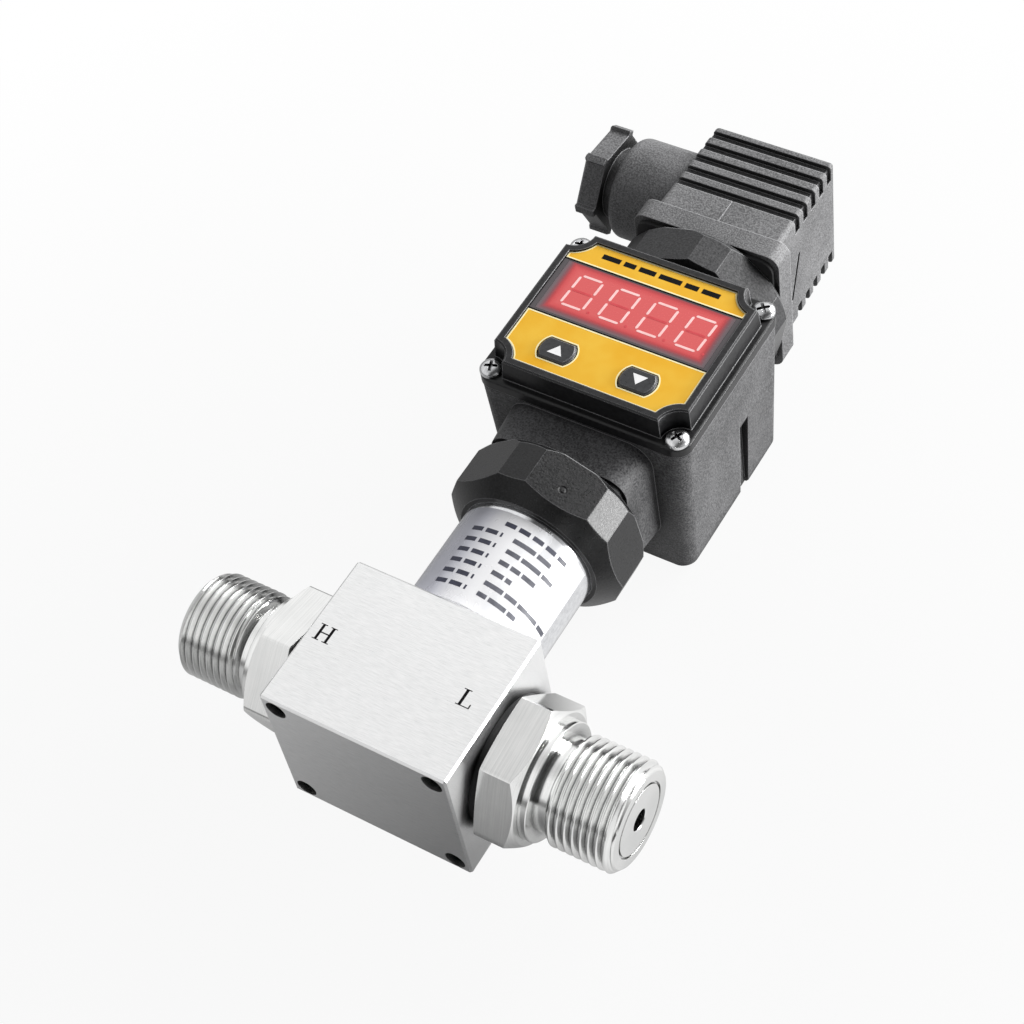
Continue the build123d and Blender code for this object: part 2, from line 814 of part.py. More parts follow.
with BuildPart() as face_overlay:
    with BuildSketch(Plane.XY.offset(overlay_bottom_z)):
        notched_rectangle(rim_width)
        with Locations((0, head_y + window_y)):
            Rectangle(window_width + fit_gap, window_length + fit_gap, mode=Mode.SUBTRACT)
        button_outline(button_gap, button_places, mode=Mode.SUBTRACT)
    extrude(amount=overlay_thickness)
finish_piece(face_overlay, "face_overlay")

with BuildPart() as display_window:
    with BuildSketch(Plane.XY.offset(window_bottom_z)):
        with Locations((0, head_y + window_y)):
            Rectangle(window_width, window_length)
    extrude(amount=window_thickness)
finish_piece(display_window, "display_window")

# Display module, boards and switches behind the cover
with BuildPart() as led_module:
    with BuildSketch(Plane.XY.offset(display_board_top_z)):
        with Locations((0, head_y + window_y)):
            Rectangle(led_width, led_length)
    extrude(amount=led_height)
finish_piece(led_module, "led_module")

with BuildPart() as display_board:
    with BuildSketch(Plane.XY.offset(display_board_bottom_z)):
        with Locations((0, head_y)):
            Rectangle(display_board_width, display_board_length)
    extrude(amount=board_thickness)
finish_piece(display_board, "display_board")

with BuildPart() as driver_board:
    with BuildSketch(Plane.XY.offset(driver_board_z)):
        with Locations((0, head_y)):
            Rectangle(driver_board_width, driver_board_length)
    extrude(amount=board_thickness)
finish_piece(driver_board, "driver_board")

with BuildPart() as board_header:
    with BuildSketch(Plane.XY.offset(driver_board_z + board_thickness)):
        with Locations((0, head_y + header_offset_y)):
            Rectangle(header_span, header_width)
    extrude(amount=display_board_bottom_z - driver_board_z - board_thickness)
finish_piece(board_header, "board_header")

switch_top_z = display_board_top_z + switch_height + switch_plunger_height
with BuildPart() as button_switches:
    with BuildSketch(Plane.XY.offset(display_board_top_z)):
        with Locations(*button_places):
            Rectangle(switch_size, switch_size)
    extrude(amount=switch_height)
    with BuildSketch(Plane.XY.offset(display_board_top_z + switch_height)):
        with Locations(*button_places):
            Circle(switch_plunger_r)
    extrude(amount=switch_plunger_height)
finish_piece(button_switches, "button_switches")


def build_button(name, side):
    """A key: its cap stands in the cover's opening, with a flange behind the skin and a stem."""
    flange_z = skin_bottom_z - button_rest_gap - button_flange_thickness
    stem_bottom_z = switch_top_z + button_travel + button_rest_gap
    with BuildPart() as button:
        with BuildSketch(Plane.XY.offset(flange_z)):
            button_outline(button_flange_margin, [(side * button_x, head_y + button_y)])
        extrude(amount=button_flange_thickness)
        with BuildSketch(Plane.XY.offset(flange_z + button_flange_thickness)):
            button_outline(0, [(side * button_x, head_y + button_y)])
        extrude(amount=overlay_top_z + button_proud - flange_z - button_flange_thickness)
        chamfer(button.faces().sort_by(Axis.Z)[-1].edges(), button_edge)
        with BuildSketch(Plane.XY.offset(flange_z)):
            with Locations((side * button_x, head_y + button_y)):
                Circle(button_stem_r)
        extrude(amount=stem_bottom_z - flange_z)
    finish_piece(button, name)


build_button("up_button", -1)
build_button("down_button", 1)

# The upper plug base: its spigot goes through the back wall of the housing
with BuildPart() as upper_plug_base:
    with BuildSketch(facing_front(box_back_y)):
        with BuildLine():
            Polyline(*twelve_sided_outline(upper_base_turn), close=True)
        make_face()
    extrude(amount=-upper_base_length)
    with BuildSketch(Plane.XY):
        with BuildLine():
            Polyline(
                (0, box_back_y),
                (upper_base_front_land_r, box_back_y),
                (base_corner_r, box_back_y + upper_base_front_cone_length),
                (base_corner_r, upper_back_y - base_back_cone_length),
                (base_back_land_r, upper_back_y),
                (0, upper_back_y),
                close=True,
            )
        make_face()
    revolve(axis=Axis.Y, mode=Mode.INTERSECT)
    with BuildSketch(across(box_back_y)):
        Circle(upper_spigot_r)
    extrude(amount=-box_wall)
    with BuildSketch(across(upper_back_y)):
        Circle(insert_r)
    extrude(amount=-insert_length, mode=Mode.SUBTRACT)
    with BuildSketch(across(upper_back_y)):
        with upper_blade_places():
            Rectangle(blade_thickness, blade_width)
    extrude(amount=-upper_base_length - box_wall, mode=Mode.SUBTRACT)
finish_piece(upper_plug_base, "upper_plug_base")

build_threaded_insert("upper_plug_insert", upper_back_y)
upper_pins_start_y = box_back_y - upper_blade_tail
upper_pins_end_y = skirt_front_y + upper_blade_reach
build_blades("upper_plug_pins", upper_blade_places(), upper_pins_start_y, upper_pins_end_y)

with BuildPart() as upper_gasket:
    with BuildSketch(across(upper_back_y)):
        RectangleRounded(skirt_width - 2 * gasket_margin, skirt_height - 2 * gasket_margin, skirt_corner_r)
        with upper_blade_places():
            Rectangle(blade_thickness, blade_width, mode=Mode.SUBTRACT)
        Circle(screw_r + thread_gap, mode=Mode.SUBTRACT)
    extrude(amount=upper_gasket_thickness)
finish_piece(upper_gasket, "upper_gasket")

# The cable plug: a square skirt, a ribbed body and a round gland body on its side
plug_cavity_width = plug_width - 2 * plug_wall
plug_cavity_height = plug_height - 2 * plug_wall
plug_cavity_length = skirt_length + plug_length - plug_back_wall
gland_end_x = -plug_width / 2 - gland_length

with BuildPart() as connector_housing:
    with BuildSketch(across(plug_front_y)):
        RectangleRounded(plug_width, plug_height, plug_corner_r)
    extrude(amount=plug_length, taper=plug_draft)
    fillet(connector_housing.faces().sort_by(Axis.Y)[-1].edges(), plug_back_round)
    for level in (-1, 1):
        for rib in range(rib_count):
            groove_y = plug_front_y + rib_start + rib * rib_pitch + rib_groove_width / 2
            surface_z = level * (plug_height / 2 - (groove_y - plug_front_y) * tan(radians(plug_draft)))
            with BuildSketch(Plane.XY.offset(surface_z - level * rib_groove_depth)):
                with Locations((0, groove_y)):
                    Rectangle(2 * plug_width, rib_groove_width)
            extrude(amount=level * 2 * rib_groove_depth, mode=Mode.SUBTRACT)
            side_x = plug_width / 2 - (groove_y - plug_front_y) * tan(radians(plug_draft))
            with BuildSketch(Plane.YZ.offset(side_x - rib_side_depth)):
                with Locations((groove_y, surface_z - level * rib_side_reach / 2)):
                    Rectangle(rib_groove_width, rib_side_reach)
            extrude(amount=2 * rib_side_depth, mode=Mode.SUBTRACT)
    with BuildSketch(facing_side(-plug_width / 4, -1)):
        with Locations((-gland_axis_y, 0)):
            Circle(gland_r)
    extrude(amount=-gland_end_x - plug_width / 4)
    fillet(connector_housing.faces().sort_by(Axis.X)[0].edges(), gland_end_round)
    with BuildSketch(across(skirt_front_y)):
        RectangleRounded(skirt_width, skirt_height, skirt_corner_r)
    extrude(amount=skirt_length)
    with BuildSketch(across(skirt_front_y)):
        Rectangle(plug_cavity_width, plug_cavity_height)
    extrude(amount=plug_cavity_length, mode=Mode.SUBTRACT)
    with BuildSketch(facing_side(gland_end_x, -1)):
        with Locations((-gland_axis_y, 0)):
            Circle(gland_bore_r)
    extrude(amount=gland_end_x + plug_cavity_width / 2, mode=Mode.SUBTRACT)
    with BuildSketch(across(plug_back_y)):
        Circle(head_counterbore_r)
    extrude(amount=-head_counterbore_depth, mode=Mode.SUBTRACT)
    with BuildSketch(across(plug_back_y)):
        Circle(screw_r + fit_gap)
    extrude(amount=-plug_back_wall, mode=Mode.SUBTRACT)
    with BuildSketch(Plane.XY.offset(plug_height / 2 - seam_depth)):
        with Locations((0, plug_front_y + rib_start / 2)):
            Rectangle(seam_width, rib_start)
    extrude(amount=seam_depth, mode=Mode.SUBTRACT)
    with BuildSketch(facing_side(plug_width / 2, 1)):
        with BuildLine():
            Polyline(
                (plug_front_y + side_slot_top_y, side_slot_top_z),
                (plug_front_y + side_slot_top_y + side_slot_width, side_slot_top_z),
                (plug_front_y + side_slot_bottom_y + side_slot_width, side_slot_bottom_z),
                (plug_front_y + side_slot_bottom_y, side_slot_bottom_z),
                close=True,
            )
        make_face()
    extrude(amount=-side_slot_depth, mode=Mode.SUBTRACT)
finish_piece(connector_housing, "connector_housing")

# The terminal block in the plug, its clamps and screws, and the long fixing screw
insert_block_width = plug_cavity_width - 2 * insert_block_gap
insert_block_height = plug_cavity_height - 2 * insert_block_gap
terminal_start_y = skirt_front_y + upper_blade_reach - terminal_length

with BuildPart() as terminal_block:
    with BuildSketch(across(skirt_front_y)):
        Rectangle(insert_block_width, insert_block_height)
        Circle(screw_r + fit_gap, mode=Mode.SUBTRACT)
        with upper_blade_places():
            Rectangle(blade_thickness + thread_gap, blade_width + thread_gap, mode=Mode.SUBTRACT)
    extrude(amount=insert_block_length)
    with BuildSketch(across(terminal_start_y)):
        with upper_blade_places():
            Rectangle(contact_thickness, contact_width)
    extrude(amount=skirt_front_y + insert_block_length - terminal_start_y, mode=Mode.SUBTRACT)
finish_piece(terminal_block, "terminal_block")

with BuildPart() as terminal_clamps:
    with BuildSketch(across(terminal_start_y)):
        with upper_blade_places():
            Rectangle(contact_thickness, contact_width)
            Rectangle(blade_thickness + thread_gap, blade_width + thread_gap, mode=Mode.SUBTRACT)
    extrude(amount=terminal_length)
finish_piece(terminal_clamps, "terminal_clamps")

with BuildPart() as terminal_screws:
    with BuildSketch(across(terminal_start_y + terminal_length)):
        with upper_blade_places():
            Circle(terminal_screw_r)
    extrude(amount=terminal_screw_length)
finish_piece(terminal_screws, "terminal_screws")

head_seat_y = plug_back_y - head_counterbore_depth + head_seal_thickness
with BuildPart() as fixing_screw_seal:
    with BuildSketch(across(plug_back_y - head_counterbore_depth)):
        Circle(screw_head_r)
        Circle(screw_r + fit_gap, mode=Mode.SUBTRACT)
    extrude(amount=head_seal_thickness)
finish_piece(fixing_screw_seal, "fixing_screw_seal")

build_cap_screw("fixing_screw", head_seat_y, upper_back_y - insert_length)

# The cable gland: rubber bush, thrust ring and hexagon nut with a ridge on each corner
nut_inner_x = gland_end_x - gland_nut_gap
nut_outer_x = nut_inner_x - gland_nut_length
neck_end_x = nut_inner_x + gland_nut_neck
neck_r = gland_bore_r - gland_running_gap

with BuildPart() as gland_thrust_ring:
    with BuildSketch(facing_side(neck_end_x, 1)):
        with Locations((gland_axis_y, 0)):
            Circle(neck_r)
            Circle(gland_nut_bore_r, mode=Mode.SUBTRACT)
    extrude(amount=thrust_ring_thickness)
finish_piece(gland_thrust_ring, "gland_thrust_ring")

with BuildPart() as gland_seal:
    with BuildSketch(facing_side(neck_end_x + thrust_ring_thickness, 1)):
        with Locations((gland_axis_y, 0)):
            Circle(gland_bore_r - thread_gap)
            Circle(gland_seal_bore_r, mode=Mode.SUBTRACT)
    extrude(amount=gland_seal_length)
finish_piece(gland_seal, "gland_seal")

with BuildPart() as gland_nut:
    nut_corner_r = gland_nut_flats / 2 / cos(radians(30))
    with BuildSketch(facing_side(nut_inner_x, -1)):
        with Locations((-gland_axis_y, 0)):
            RegularPolygon(gland_nut_flats / 2, 6, major_radius=False, rotation=-gland_nut_turn)
            with PolarLocations(nut_corner_r - gland_nut_ridge_width / 2, 6, start_angle=-gland_nut_turn):
                Rectangle(2 * gland_nut_ridge + gland_nut_ridge_width, gland_nut_ridge_width)
    extrude(amount=gland_nut_length)
    chamfer(gland_nut.faces().sort_by(Axis.X)[0].edges(), gland_nut_ridge)
    with BuildSketch(facing_side(nut_inner_x, 1)):
        with Locations((gland_axis_y, 0)):
            Circle(neck_r)
    extrude(amount=gland_nut_neck)
    with BuildSketch(facing_side(nut_outer_x, 1)):
        with Locations((gland_axis_y, 0)):
            Circle(gland_nut_bore_r)
    extrude(amount=gland_nut_length + gland_nut_neck, mode=Mode.SUBTRACT)
finish_piece(gland_nut, "gland_nut")
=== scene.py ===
"""Looks of the pressure transmitter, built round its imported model.

Lengths are in metres and the frame is the model's: +X towards the low-pressure port, +Y towards
the cable plug, +Z out of the display.
"""
import math

import bmesh
import bpy
from mathutils import Matrix, Vector


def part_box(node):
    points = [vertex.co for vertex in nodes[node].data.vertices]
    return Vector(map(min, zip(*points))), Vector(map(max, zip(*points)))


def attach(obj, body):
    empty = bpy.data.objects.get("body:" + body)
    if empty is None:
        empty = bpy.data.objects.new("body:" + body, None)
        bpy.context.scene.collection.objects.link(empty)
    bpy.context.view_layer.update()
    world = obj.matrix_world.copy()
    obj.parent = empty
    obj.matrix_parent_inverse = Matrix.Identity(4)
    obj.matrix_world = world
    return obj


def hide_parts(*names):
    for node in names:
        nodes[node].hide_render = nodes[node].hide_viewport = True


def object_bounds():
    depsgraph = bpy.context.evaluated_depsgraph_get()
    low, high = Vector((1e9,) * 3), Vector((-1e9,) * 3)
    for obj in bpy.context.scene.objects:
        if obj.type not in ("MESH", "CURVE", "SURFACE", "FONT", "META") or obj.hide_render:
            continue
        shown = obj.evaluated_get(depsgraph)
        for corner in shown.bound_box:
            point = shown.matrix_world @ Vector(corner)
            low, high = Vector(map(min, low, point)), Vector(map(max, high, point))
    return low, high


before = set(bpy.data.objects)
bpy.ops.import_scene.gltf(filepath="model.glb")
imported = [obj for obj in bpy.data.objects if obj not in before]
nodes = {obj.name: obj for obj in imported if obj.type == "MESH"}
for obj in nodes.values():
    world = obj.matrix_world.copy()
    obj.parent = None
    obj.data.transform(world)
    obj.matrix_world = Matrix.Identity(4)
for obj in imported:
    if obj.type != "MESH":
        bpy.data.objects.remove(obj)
cad_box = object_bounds()

MM = 0.001
ROOT = "instrument"

# Sizes and places on the display face
HEAD_Y = (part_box("display_cover")[0][1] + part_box("display_cover")[1][1]) / 2
FACE_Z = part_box("face_overlay")[1][2]
FIELD_HALF_X = 18.4 * MM
FIELD_HALF_Y = 15.4 * MM
NOTCH_X = 20.0 * MM
NOTCH_Y = 17.0 * MM
NOTCH_R = 5.6 * MM
BAND_LOW_Y = HEAD_Y - 3.6 * MM
BAND_HIGH_Y = HEAD_Y + 10.3 * MM
LED_HALF_X = 15.75 * MM
LED_LOW_Y = HEAD_Y - 1.5 * MM
LED_HIGH_Y = HEAD_Y + 9.2 * MM
PRINT_LIFT = 0.02 * MM
LINE_WIDTH = 0.28 * MM

# Port fittings, measured back from the end of the thread
PORT_Y = 15.3 * MM
THREAD_LENGTH = 13.2 * MM
THREAD_PITCH = 1.5 * MM
THREAD_R = 10.0 * MM
THREAD_DEPTH = 0.92 * MM
THREAD_LEAD = 1.2 * MM
THREAD_START_SLOPE = 1.6
RELIEF_LENGTH = 2.2 * MM
RELIEF_R = 8.6 * MM
COLLAR_LENGTH = 1.6 * MM
COLLAR_R = 10.9 * MM
HEX_LENGTH = 7.3 * MM
HEX_APOTHEM = 12.25 * MM
HEX_LAND_R = 12.0 * MM
HEX_CHAMFER_ANGLE = 30
HEX_BACK_SHARE = 0.25
PORT_BORE_R = 2.0 * MM
HEX_TURN = {"low": 67.5, "high": 47.0}
END_GROOVE_R = 6.5 * MM
END_GROOVE_WIDTH = 0.5 * MM
END_GROOVE_DEPTH = 0.4 * MM
SMALL_EDGE = 0.15 * MM
FITTING_COLUMNS = 180

# One turn of the thread, from root to root, as (share of the pitch, share of the depth)
THREAD_PROFILE = (
    (0.0, 1.0), (0.125, 1.0), (0.27, 0.5), (0.4375, 0.0), (0.5625, 0.0), (0.7, 0.28), (0.86, 0.72),
)

# Gate mark on the lower plug base
GATE_PLACE = (6.1 * MM, 58.9 * MM, 15.7 * MM)
GATE_R = 0.6 * MM
GATE_DEPTH = 0.15 * MM

# The floor's half side, and its distance under the object
FLOOR_HALF = 3.0
FLOOR_GAP = 0.1 * MM

# Grey by place, as reflections show it: painted light on the floor from left to right, and the room
# by height and from left to right
FLOOR_BY_SIDE = ((0.3, 0.35), (0.55, 0.03), (0.65, 0.03), (0.8, 0.8))
ROOM_BY_HEIGHT = (
    (0.0, 0.45), (0.03, 0.22), (0.16, 0.22), (0.32, 0.95), (0.6, 1.0), (0.84, 1.0), (0.94, 0.66),
)
ROOM_BY_SIDE = ((0.0, 0.9), (0.42, 1.0), (0.53, 0.12), (0.75, 0.08), (0.9, 0.45))

WHITE = (1, 1, 1, 1)
AMBIENT = (0.27, 0.27, 0.275, 1)
LAMP_AIM = (0.0, 0.075, 0.0)
BEVEL_SAMPLES = 6
OPENNESS_SAMPLES = 6


def srgb(red, green, blue):
    """A linear colour from 0-255 screen values."""
    values = []
    for value in (red, green, blue):
        share = value / 255
        values.append(share / 12.92 if share <= 0.04045 else ((share + 0.055) / 1.055) ** 2.4)
    return (*values, 1.0)


class Maker:
    """A material's or a world's nodes under construction, with short calls to add and join them."""

    def __init__(self, owner):
        owner.use_nodes = True
        self.owner = owner
        self.tree = owner.node_tree
        self.surface = self.tree.nodes.get("Principled BSDF")

    def node(self, kind, inputs=(), **settings):
        """Adds a node; inputs maps a socket's name or number to a value or to another socket."""
        made = self.tree.nodes.new(kind)
        for key, value in settings.items():
            setattr(made, key, value)
        for key, value in dict(inputs).items():
            if isinstance(value, bpy.types.NodeSocket):
                self.tree.links.new(value, made.inputs[key])
            else:
                made.inputs[key].default_value = value
        return made

    def math(self, operation, first, second=0.0, third=0.0):
        """The result socket of one sum."""
        values = {0: first, 1: second, 2: third}
        return self.node("ShaderNodeMath", values, operation=operation).outputs[0]

    def vector_value(self, operation, first, *second):
        """The number that one vector sum gives."""
        made = self.node("ShaderNodeVectorMath", enumerate((first, *second)), operation=operation)
        return made.outputs["Value"]

    def place(self):
        """The point in the model's own frame."""
        return self.node("ShaderNodeTexCoord").outputs["Object"]

    def parts_of(self, vector):
        """A vector's outputs by axis name."""
        return self.node("ShaderNodeSeparateXYZ", {"Vector": vector}).outputs

    def noise(self, scale, detail=2.0, roughness=0.5, stretch=(1, 1, 1)):
        """A noise value between 0 and 1; scale counts per metre, and stretch scales each axis."""
        spread = self.node("ShaderNodeMapping", {"Vector": self.place(), "Scale": stretch})
        pattern = self.node(
            "ShaderNodeTexNoise",
            {"Vector": spread.outputs[0], "Scale": scale, "Detail": detail, "Roughness": roughness},
        )
        return pattern.outputs["Fac"]

    def ramp(self, factor, stops, interpolation="LINEAR"):
        """A colour ramp with the given (position, colour) stops."""
        made = self.node("ShaderNodeValToRGB", {"Fac": factor})
        made.color_ramp.interpolation = interpolation
        elements = made.color_ramp.elements
        while len(elements) < len(stops):
            elements.new(0.5)
        for element, (position, color) in zip(elements, stops):
            element.position = position
            element.color = color
        return made.outputs["Color"]

    def span(self, value, low, high, new_low=0.0, new_high=1.0):
        """A value mapped from one range to another, and held at the ends."""
        limits = {"From Min": low, "From Max": high, "To Min": new_low, "To Max": new_high}
        return self.node("ShaderNodeMapRange", {"Value": value, **limits}).outputs["Result"]

    def bump(self, height, strength, distance, base_normal=None):
        """A bump normal; distance is the depth of the relief."""
        values = {"Height": height, "Strength": strength, "Distance": distance}
        if base_normal is not None:
            values["Normal"] = base_normal
        return self.node("ShaderNodeBump", values).outputs["Normal"]

    def edge_normal(self, radius):
        """A normal that rounds sharp edges."""
        made = self.node("ShaderNodeBevel", {"Radius": radius}, samples=BEVEL_SAMPLES)
        return made.outputs["Normal"]

    def edge_mask(self, rounded, start, full):
        """0 on flat stretches, and up to 1 where the rounded normal turns away at an edge."""
        flat = self.node("ShaderNodeNewGeometry").outputs["Normal"]
        return self.span(self.vector_value("DOT_PRODUCT", rounded, flat), 1.0 - start, 1.0 - full)

    def openness(self, reach, closed, open_at):
        """0 deep in crevices and 1 on open faces, from how much lies within reach of the point; it
        marks where shade is painted in.
        """
        cover = self.node(
            "ShaderNodeAmbientOcclusion", {"Distance": reach}, samples=OPENNESS_SAMPLES
        )
        return self.span(cover.outputs["AO"], closed, open_at)

    def blend(self, share, first, second):
        """A colour between two others."""
        made = self.node("ShaderNodeMix", {0: share, 6: first, 7: second}, data_type="RGBA")
        return made.outputs[2]

    def rays(self):
        """Whether a ray shows the background itself, and whether it is a reflection."""
        path = self.node("ShaderNodeLightPath").outputs
        seen = self.math("MAXIMUM", path["Is Camera Ray"], path["Is Transmission Ray"])
        return seen, path["Is Glossy Ray"]

    def finish(self, **sockets):
        """Sets or joins the surface's sockets, named with _ for a space, and gives the material."""
        for key, value in sockets.items():
            socket = self.surface.inputs[key.replace("_", " ")]
            if isinstance(value, bpy.types.NodeSocket):
                self.tree.links.new(value, socket)
            else:
                socket.default_value = value
        return self.owner


def grey_stops(stops):
    """Ramp stops of plain grey, from (position, value) pairs."""
    return [(position, (value, value, value, 1)) for position, value in stops]


def material_maker(name):
    """A maker for a new material."""
    return Maker(bpy.data.materials.new(name))


def brushed_steel(name, low, high, rough, stretch, relief, hollow_shade=None):
    """Steel with fine lines along one axis, and painted shade in drilled holes and hollows."""
    maker = material_maker(name)
    lines = maker.noise(1.0, detail=4.0, roughness=0.7, stretch=stretch)
    clouds = maker.noise(60.0, detail=2.0)
    tone = maker.math("MULTIPLY_ADD", lines, 0.9, maker.math("MULTIPLY", clouds, 0.1))
    color = maker.ramp(tone, [(0.3, low), (0.6, high)])
    if hollow_shade is not None:
        # Painted shade: the hollow colour is laid into holes and hollows, where little around the
        # point is open.
        color = maker.blend(maker.openness(5.0 * MM, closed=0.3, open_at=0.55), hollow_shade, color)
    return maker.finish(
        Base_Color=color,
        Metallic=1.0,
        Roughness=maker.span(tone, 0.3, 0.7, *rough),
        Normal=maker.bump(lines, relief, 0.02 * MM, maker.edge_normal(0.06 * MM)),
    )


def turned_steel(name, low, high, rough, hollow_shade=None):
    """Turned metal with faint rings across the X axis, and painted shade in thread roots and
    recesses.
    """
    maker = material_maker(name)
    rings = maker.noise(1.0, detail=3.0, roughness=0.6, stretch=(5200, 60, 60))
    clouds = maker.noise(140.0, detail=2.0)
    tone = maker.math("MULTIPLY_ADD", rings, 0.6, maker.math("MULTIPLY", clouds, 0.4))
    color = maker.ramp(tone, [(0.3, low), (0.65, high)])
    if hollow_shade is not None:
        # Painted shade: the hollow colour is laid into thread roots and recesses, where little
        # around the point is open.
        color = maker.blend(maker.openness(4.5 * MM, closed=0.3, open_at=0.5), hollow_shade, color)
    return maker.finish(
        Base_Color=color,
        Metallic=1.0,
        Roughness=maker.span(tone, 0.3, 0.7, *rough),
        Normal=maker.bump(rings, 0.12, 0.01 * MM, maker.edge_normal(0.05 * MM)),
    )


def moulded_plastic(
    name, dark, light, grain_scale, relief, rough,
    edge_highlight_color=None, edge_highlight_share=0.0, gloss=0.5, gate=None, crevice_shade=None,
):
    """Plastic with a moulded grain; painted shade in crevices, painted highlights as pale edges,
    and a gate mark where asked for.
    """
    maker = material_maker(name)
    grain = maker.noise(grain_scale, detail=3.0, roughness=0.62)
    fine = maker.noise(grain_scale * 2.6, detail=2.0)
    clouds = maker.noise(120.0, detail=2.0)
    tone = maker.math("MULTIPLY_ADD", grain, 0.8, maker.math("MULTIPLY", clouds, 0.2))
    color = maker.ramp(tone, [(0.4, dark), (0.62, light)])
    height = maker.math("MULTIPLY_ADD", grain, 0.75, maker.math("MULTIPLY", fine, 0.25))
    rounded = maker.edge_normal(0.3 * MM)
    if crevice_shade is not None:
        # Painted shade: the crevice colour is laid in where little around the point is open.
        color = maker.blend(maker.openness(5.0 * MM, closed=0.35, open_at=0.85), crevice_shade, color)
    # Painted highlight: pale lines along the edges, broken up by the fine grain.
    if edge_highlight_color is not None:
        highlight_strength = maker.math("MULTIPLY", maker.span(fine, 0.25, 0.6, 0.55, 1.0), edge_highlight_share)
        painted_edges = maker.math("MULTIPLY", maker.edge_mask(rounded, start=0.01, full=0.12), highlight_strength)
        color = maker.blend(painted_edges, color, edge_highlight_color)
    if gate is not None:
        away = maker.vector_value("DISTANCE", maker.place(), gate)
        rim = maker.math("ABSOLUTE", maker.math("SUBTRACT", away, GATE_R))
        rounded = maker.bump(maker.span(rim, 0.0, GATE_R / 2), 1.0, GATE_DEPTH, rounded)
    return maker.finish(
        Base_Color=color,
        Roughness=maker.span(grain, 0.3, 0.7, *rough),
        Specular_IOR_Level=gloss,
        Normal=maker.bump(height, relief, 0.1 * MM, rounded),
    )


def plain_print(name, color, second, roughness=0.4, glow=0.0, gloss=0.5):
    """Ink or film with a slight unevenness."""
    maker = material_maker(name)
    clouds = maker.noise(700.0, detail=2.0)
    made = maker.finish(
        Base_Color=maker.ramp(clouds, [(0.3, color), (0.7, second)]),
        Roughness=maker.span(clouds, 0.3, 0.7, roughness, roughness + 0.08),
        Specular_IOR_Level=gloss,
    )
    if glow:
        maker.finish(Emission_Color=color, Emission_Strength=glow)
    return made


def overlay_film():
    """The yellow face sheet, dark across the window band."""
    maker = material_maker("yellow_film")
    y = maker.parts_of(maker.place())["Y"]
    above = maker.math("GREATER_THAN", y, BAND_LOW_Y)
    below = maker.math("LESS_THAN", y, BAND_HIGH_Y)
    in_band = maker.math("MULTIPLY", above, below)
    clouds = maker.noise(160.0, detail=2.0)
    yellow = maker.ramp(clouds, [(0.3, srgb(230, 172, 40)), (0.7, srgb(236, 188, 64))])
    grain = maker.noise(2600.0, detail=2.0)
    return maker.finish(
        Base_Color=maker.blend(in_band, yellow, srgb(88, 84, 86)),
        Roughness=maker.span(grain, 0.3, 0.7, 0.46, 0.56),
        Specular_IOR_Level=0.2,
        Normal=maker.bump(grain, 0.05, 0.02 * MM),
    )


def window_film():
    """The pane: red over the module, through dark red to grey-purple at its ends."""
    maker = material_maker("window_film")
    parts = maker.parts_of(maker.place())
    out_x = maker.math("SUBTRACT", maker.math("ABSOLUTE", parts["X"]), LED_HALF_X)
    middle_y = (LED_LOW_Y + LED_HIGH_Y) / 2
    from_middle = maker.math("ABSOLUTE", maker.math("SUBTRACT", parts["Y"], middle_y))
    out_y = maker.math("SUBTRACT", from_middle, (LED_HIGH_Y - LED_LOW_Y) / 2)
    outside = maker.math("SMOOTH_MAX", out_x, out_y, 0.4 * MM)
    mottle = maker.noise(2200.0, detail=3.0)
    shifted = maker.math("MULTIPLY_ADD", mottle, 0.3 * MM, outside)
    share = maker.span(shifted, -1.2 * MM, 2.4 * MM)
    color = maker.ramp(
        share,
        [
            (0.0, srgb(214, 94, 94)),
            (0.26, srgb(206, 80, 82)),
            (0.40, srgb(180, 66, 70)),
            (0.56, srgb(132, 78, 84)),
            (0.72, srgb(112, 96, 100)),
            (1.0, srgb(88, 84, 86)),
        ],
    )
    return maker.finish(
        Base_Color=color,
        Roughness=maker.span(mottle, 0.3, 0.7, 0.2, 0.3),
        Specular_IOR_Level=0.35,
        Normal=maker.bump(mottle, 0.03, 0.02 * MM),
    )


def film_with_painted_light():
    """The tube's label film: white, with painted highlight and painted shade as faint grey and
    lavender bands along the tube.
    """
    maker = material_maker("film_with_painted_light")
    parts = maker.parts_of(maker.place())
    # Painted highlight and painted shade: the colour changes with the angle round the tube, a pale
    # highlight strip on the right and grey and lavender shaded bands further round.
    angle = maker.math("ARCTAN2", parts["Z"], parts["X"])
    mottle = maker.noise(260.0, detail=3.0, stretch=(1, 0.4, 1))
    waver = 0.16
    wavering = maker.math("MULTIPLY_ADD", mottle, waver, angle)
    share = maker.span(wavering, waver / 2, math.pi + waver / 2)
    color = maker.ramp(
        share,
        [
            (0.0, srgb(236, 236, 238)),
            (0.2, srgb(242, 242, 243)),
            (0.27, srgb(210, 211, 213)),
            (0.36, srgb(216, 217, 219)),
            (0.43, srgb(232, 232, 233)),
            (0.55, srgb(228, 228, 231)),
            (0.62, srgb(202, 203, 212)),
            (0.74, srgb(190, 191, 201)),
            (0.82, srgb(206, 207, 213)),
            (0.86, srgb(236, 236, 238)),
            (1.0, srgb(214, 214, 217)),
        ],
    )
    grain = maker.noise(2400.0, detail=2.0)
    return maker.finish(
        Base_Color=color,
        Metallic=0.25,
        Roughness=maker.span(mottle, 0.3, 0.7, 0.22, 0.36),
        Normal=maker.bump(grain, 0.04, 0.02 * MM),
    )


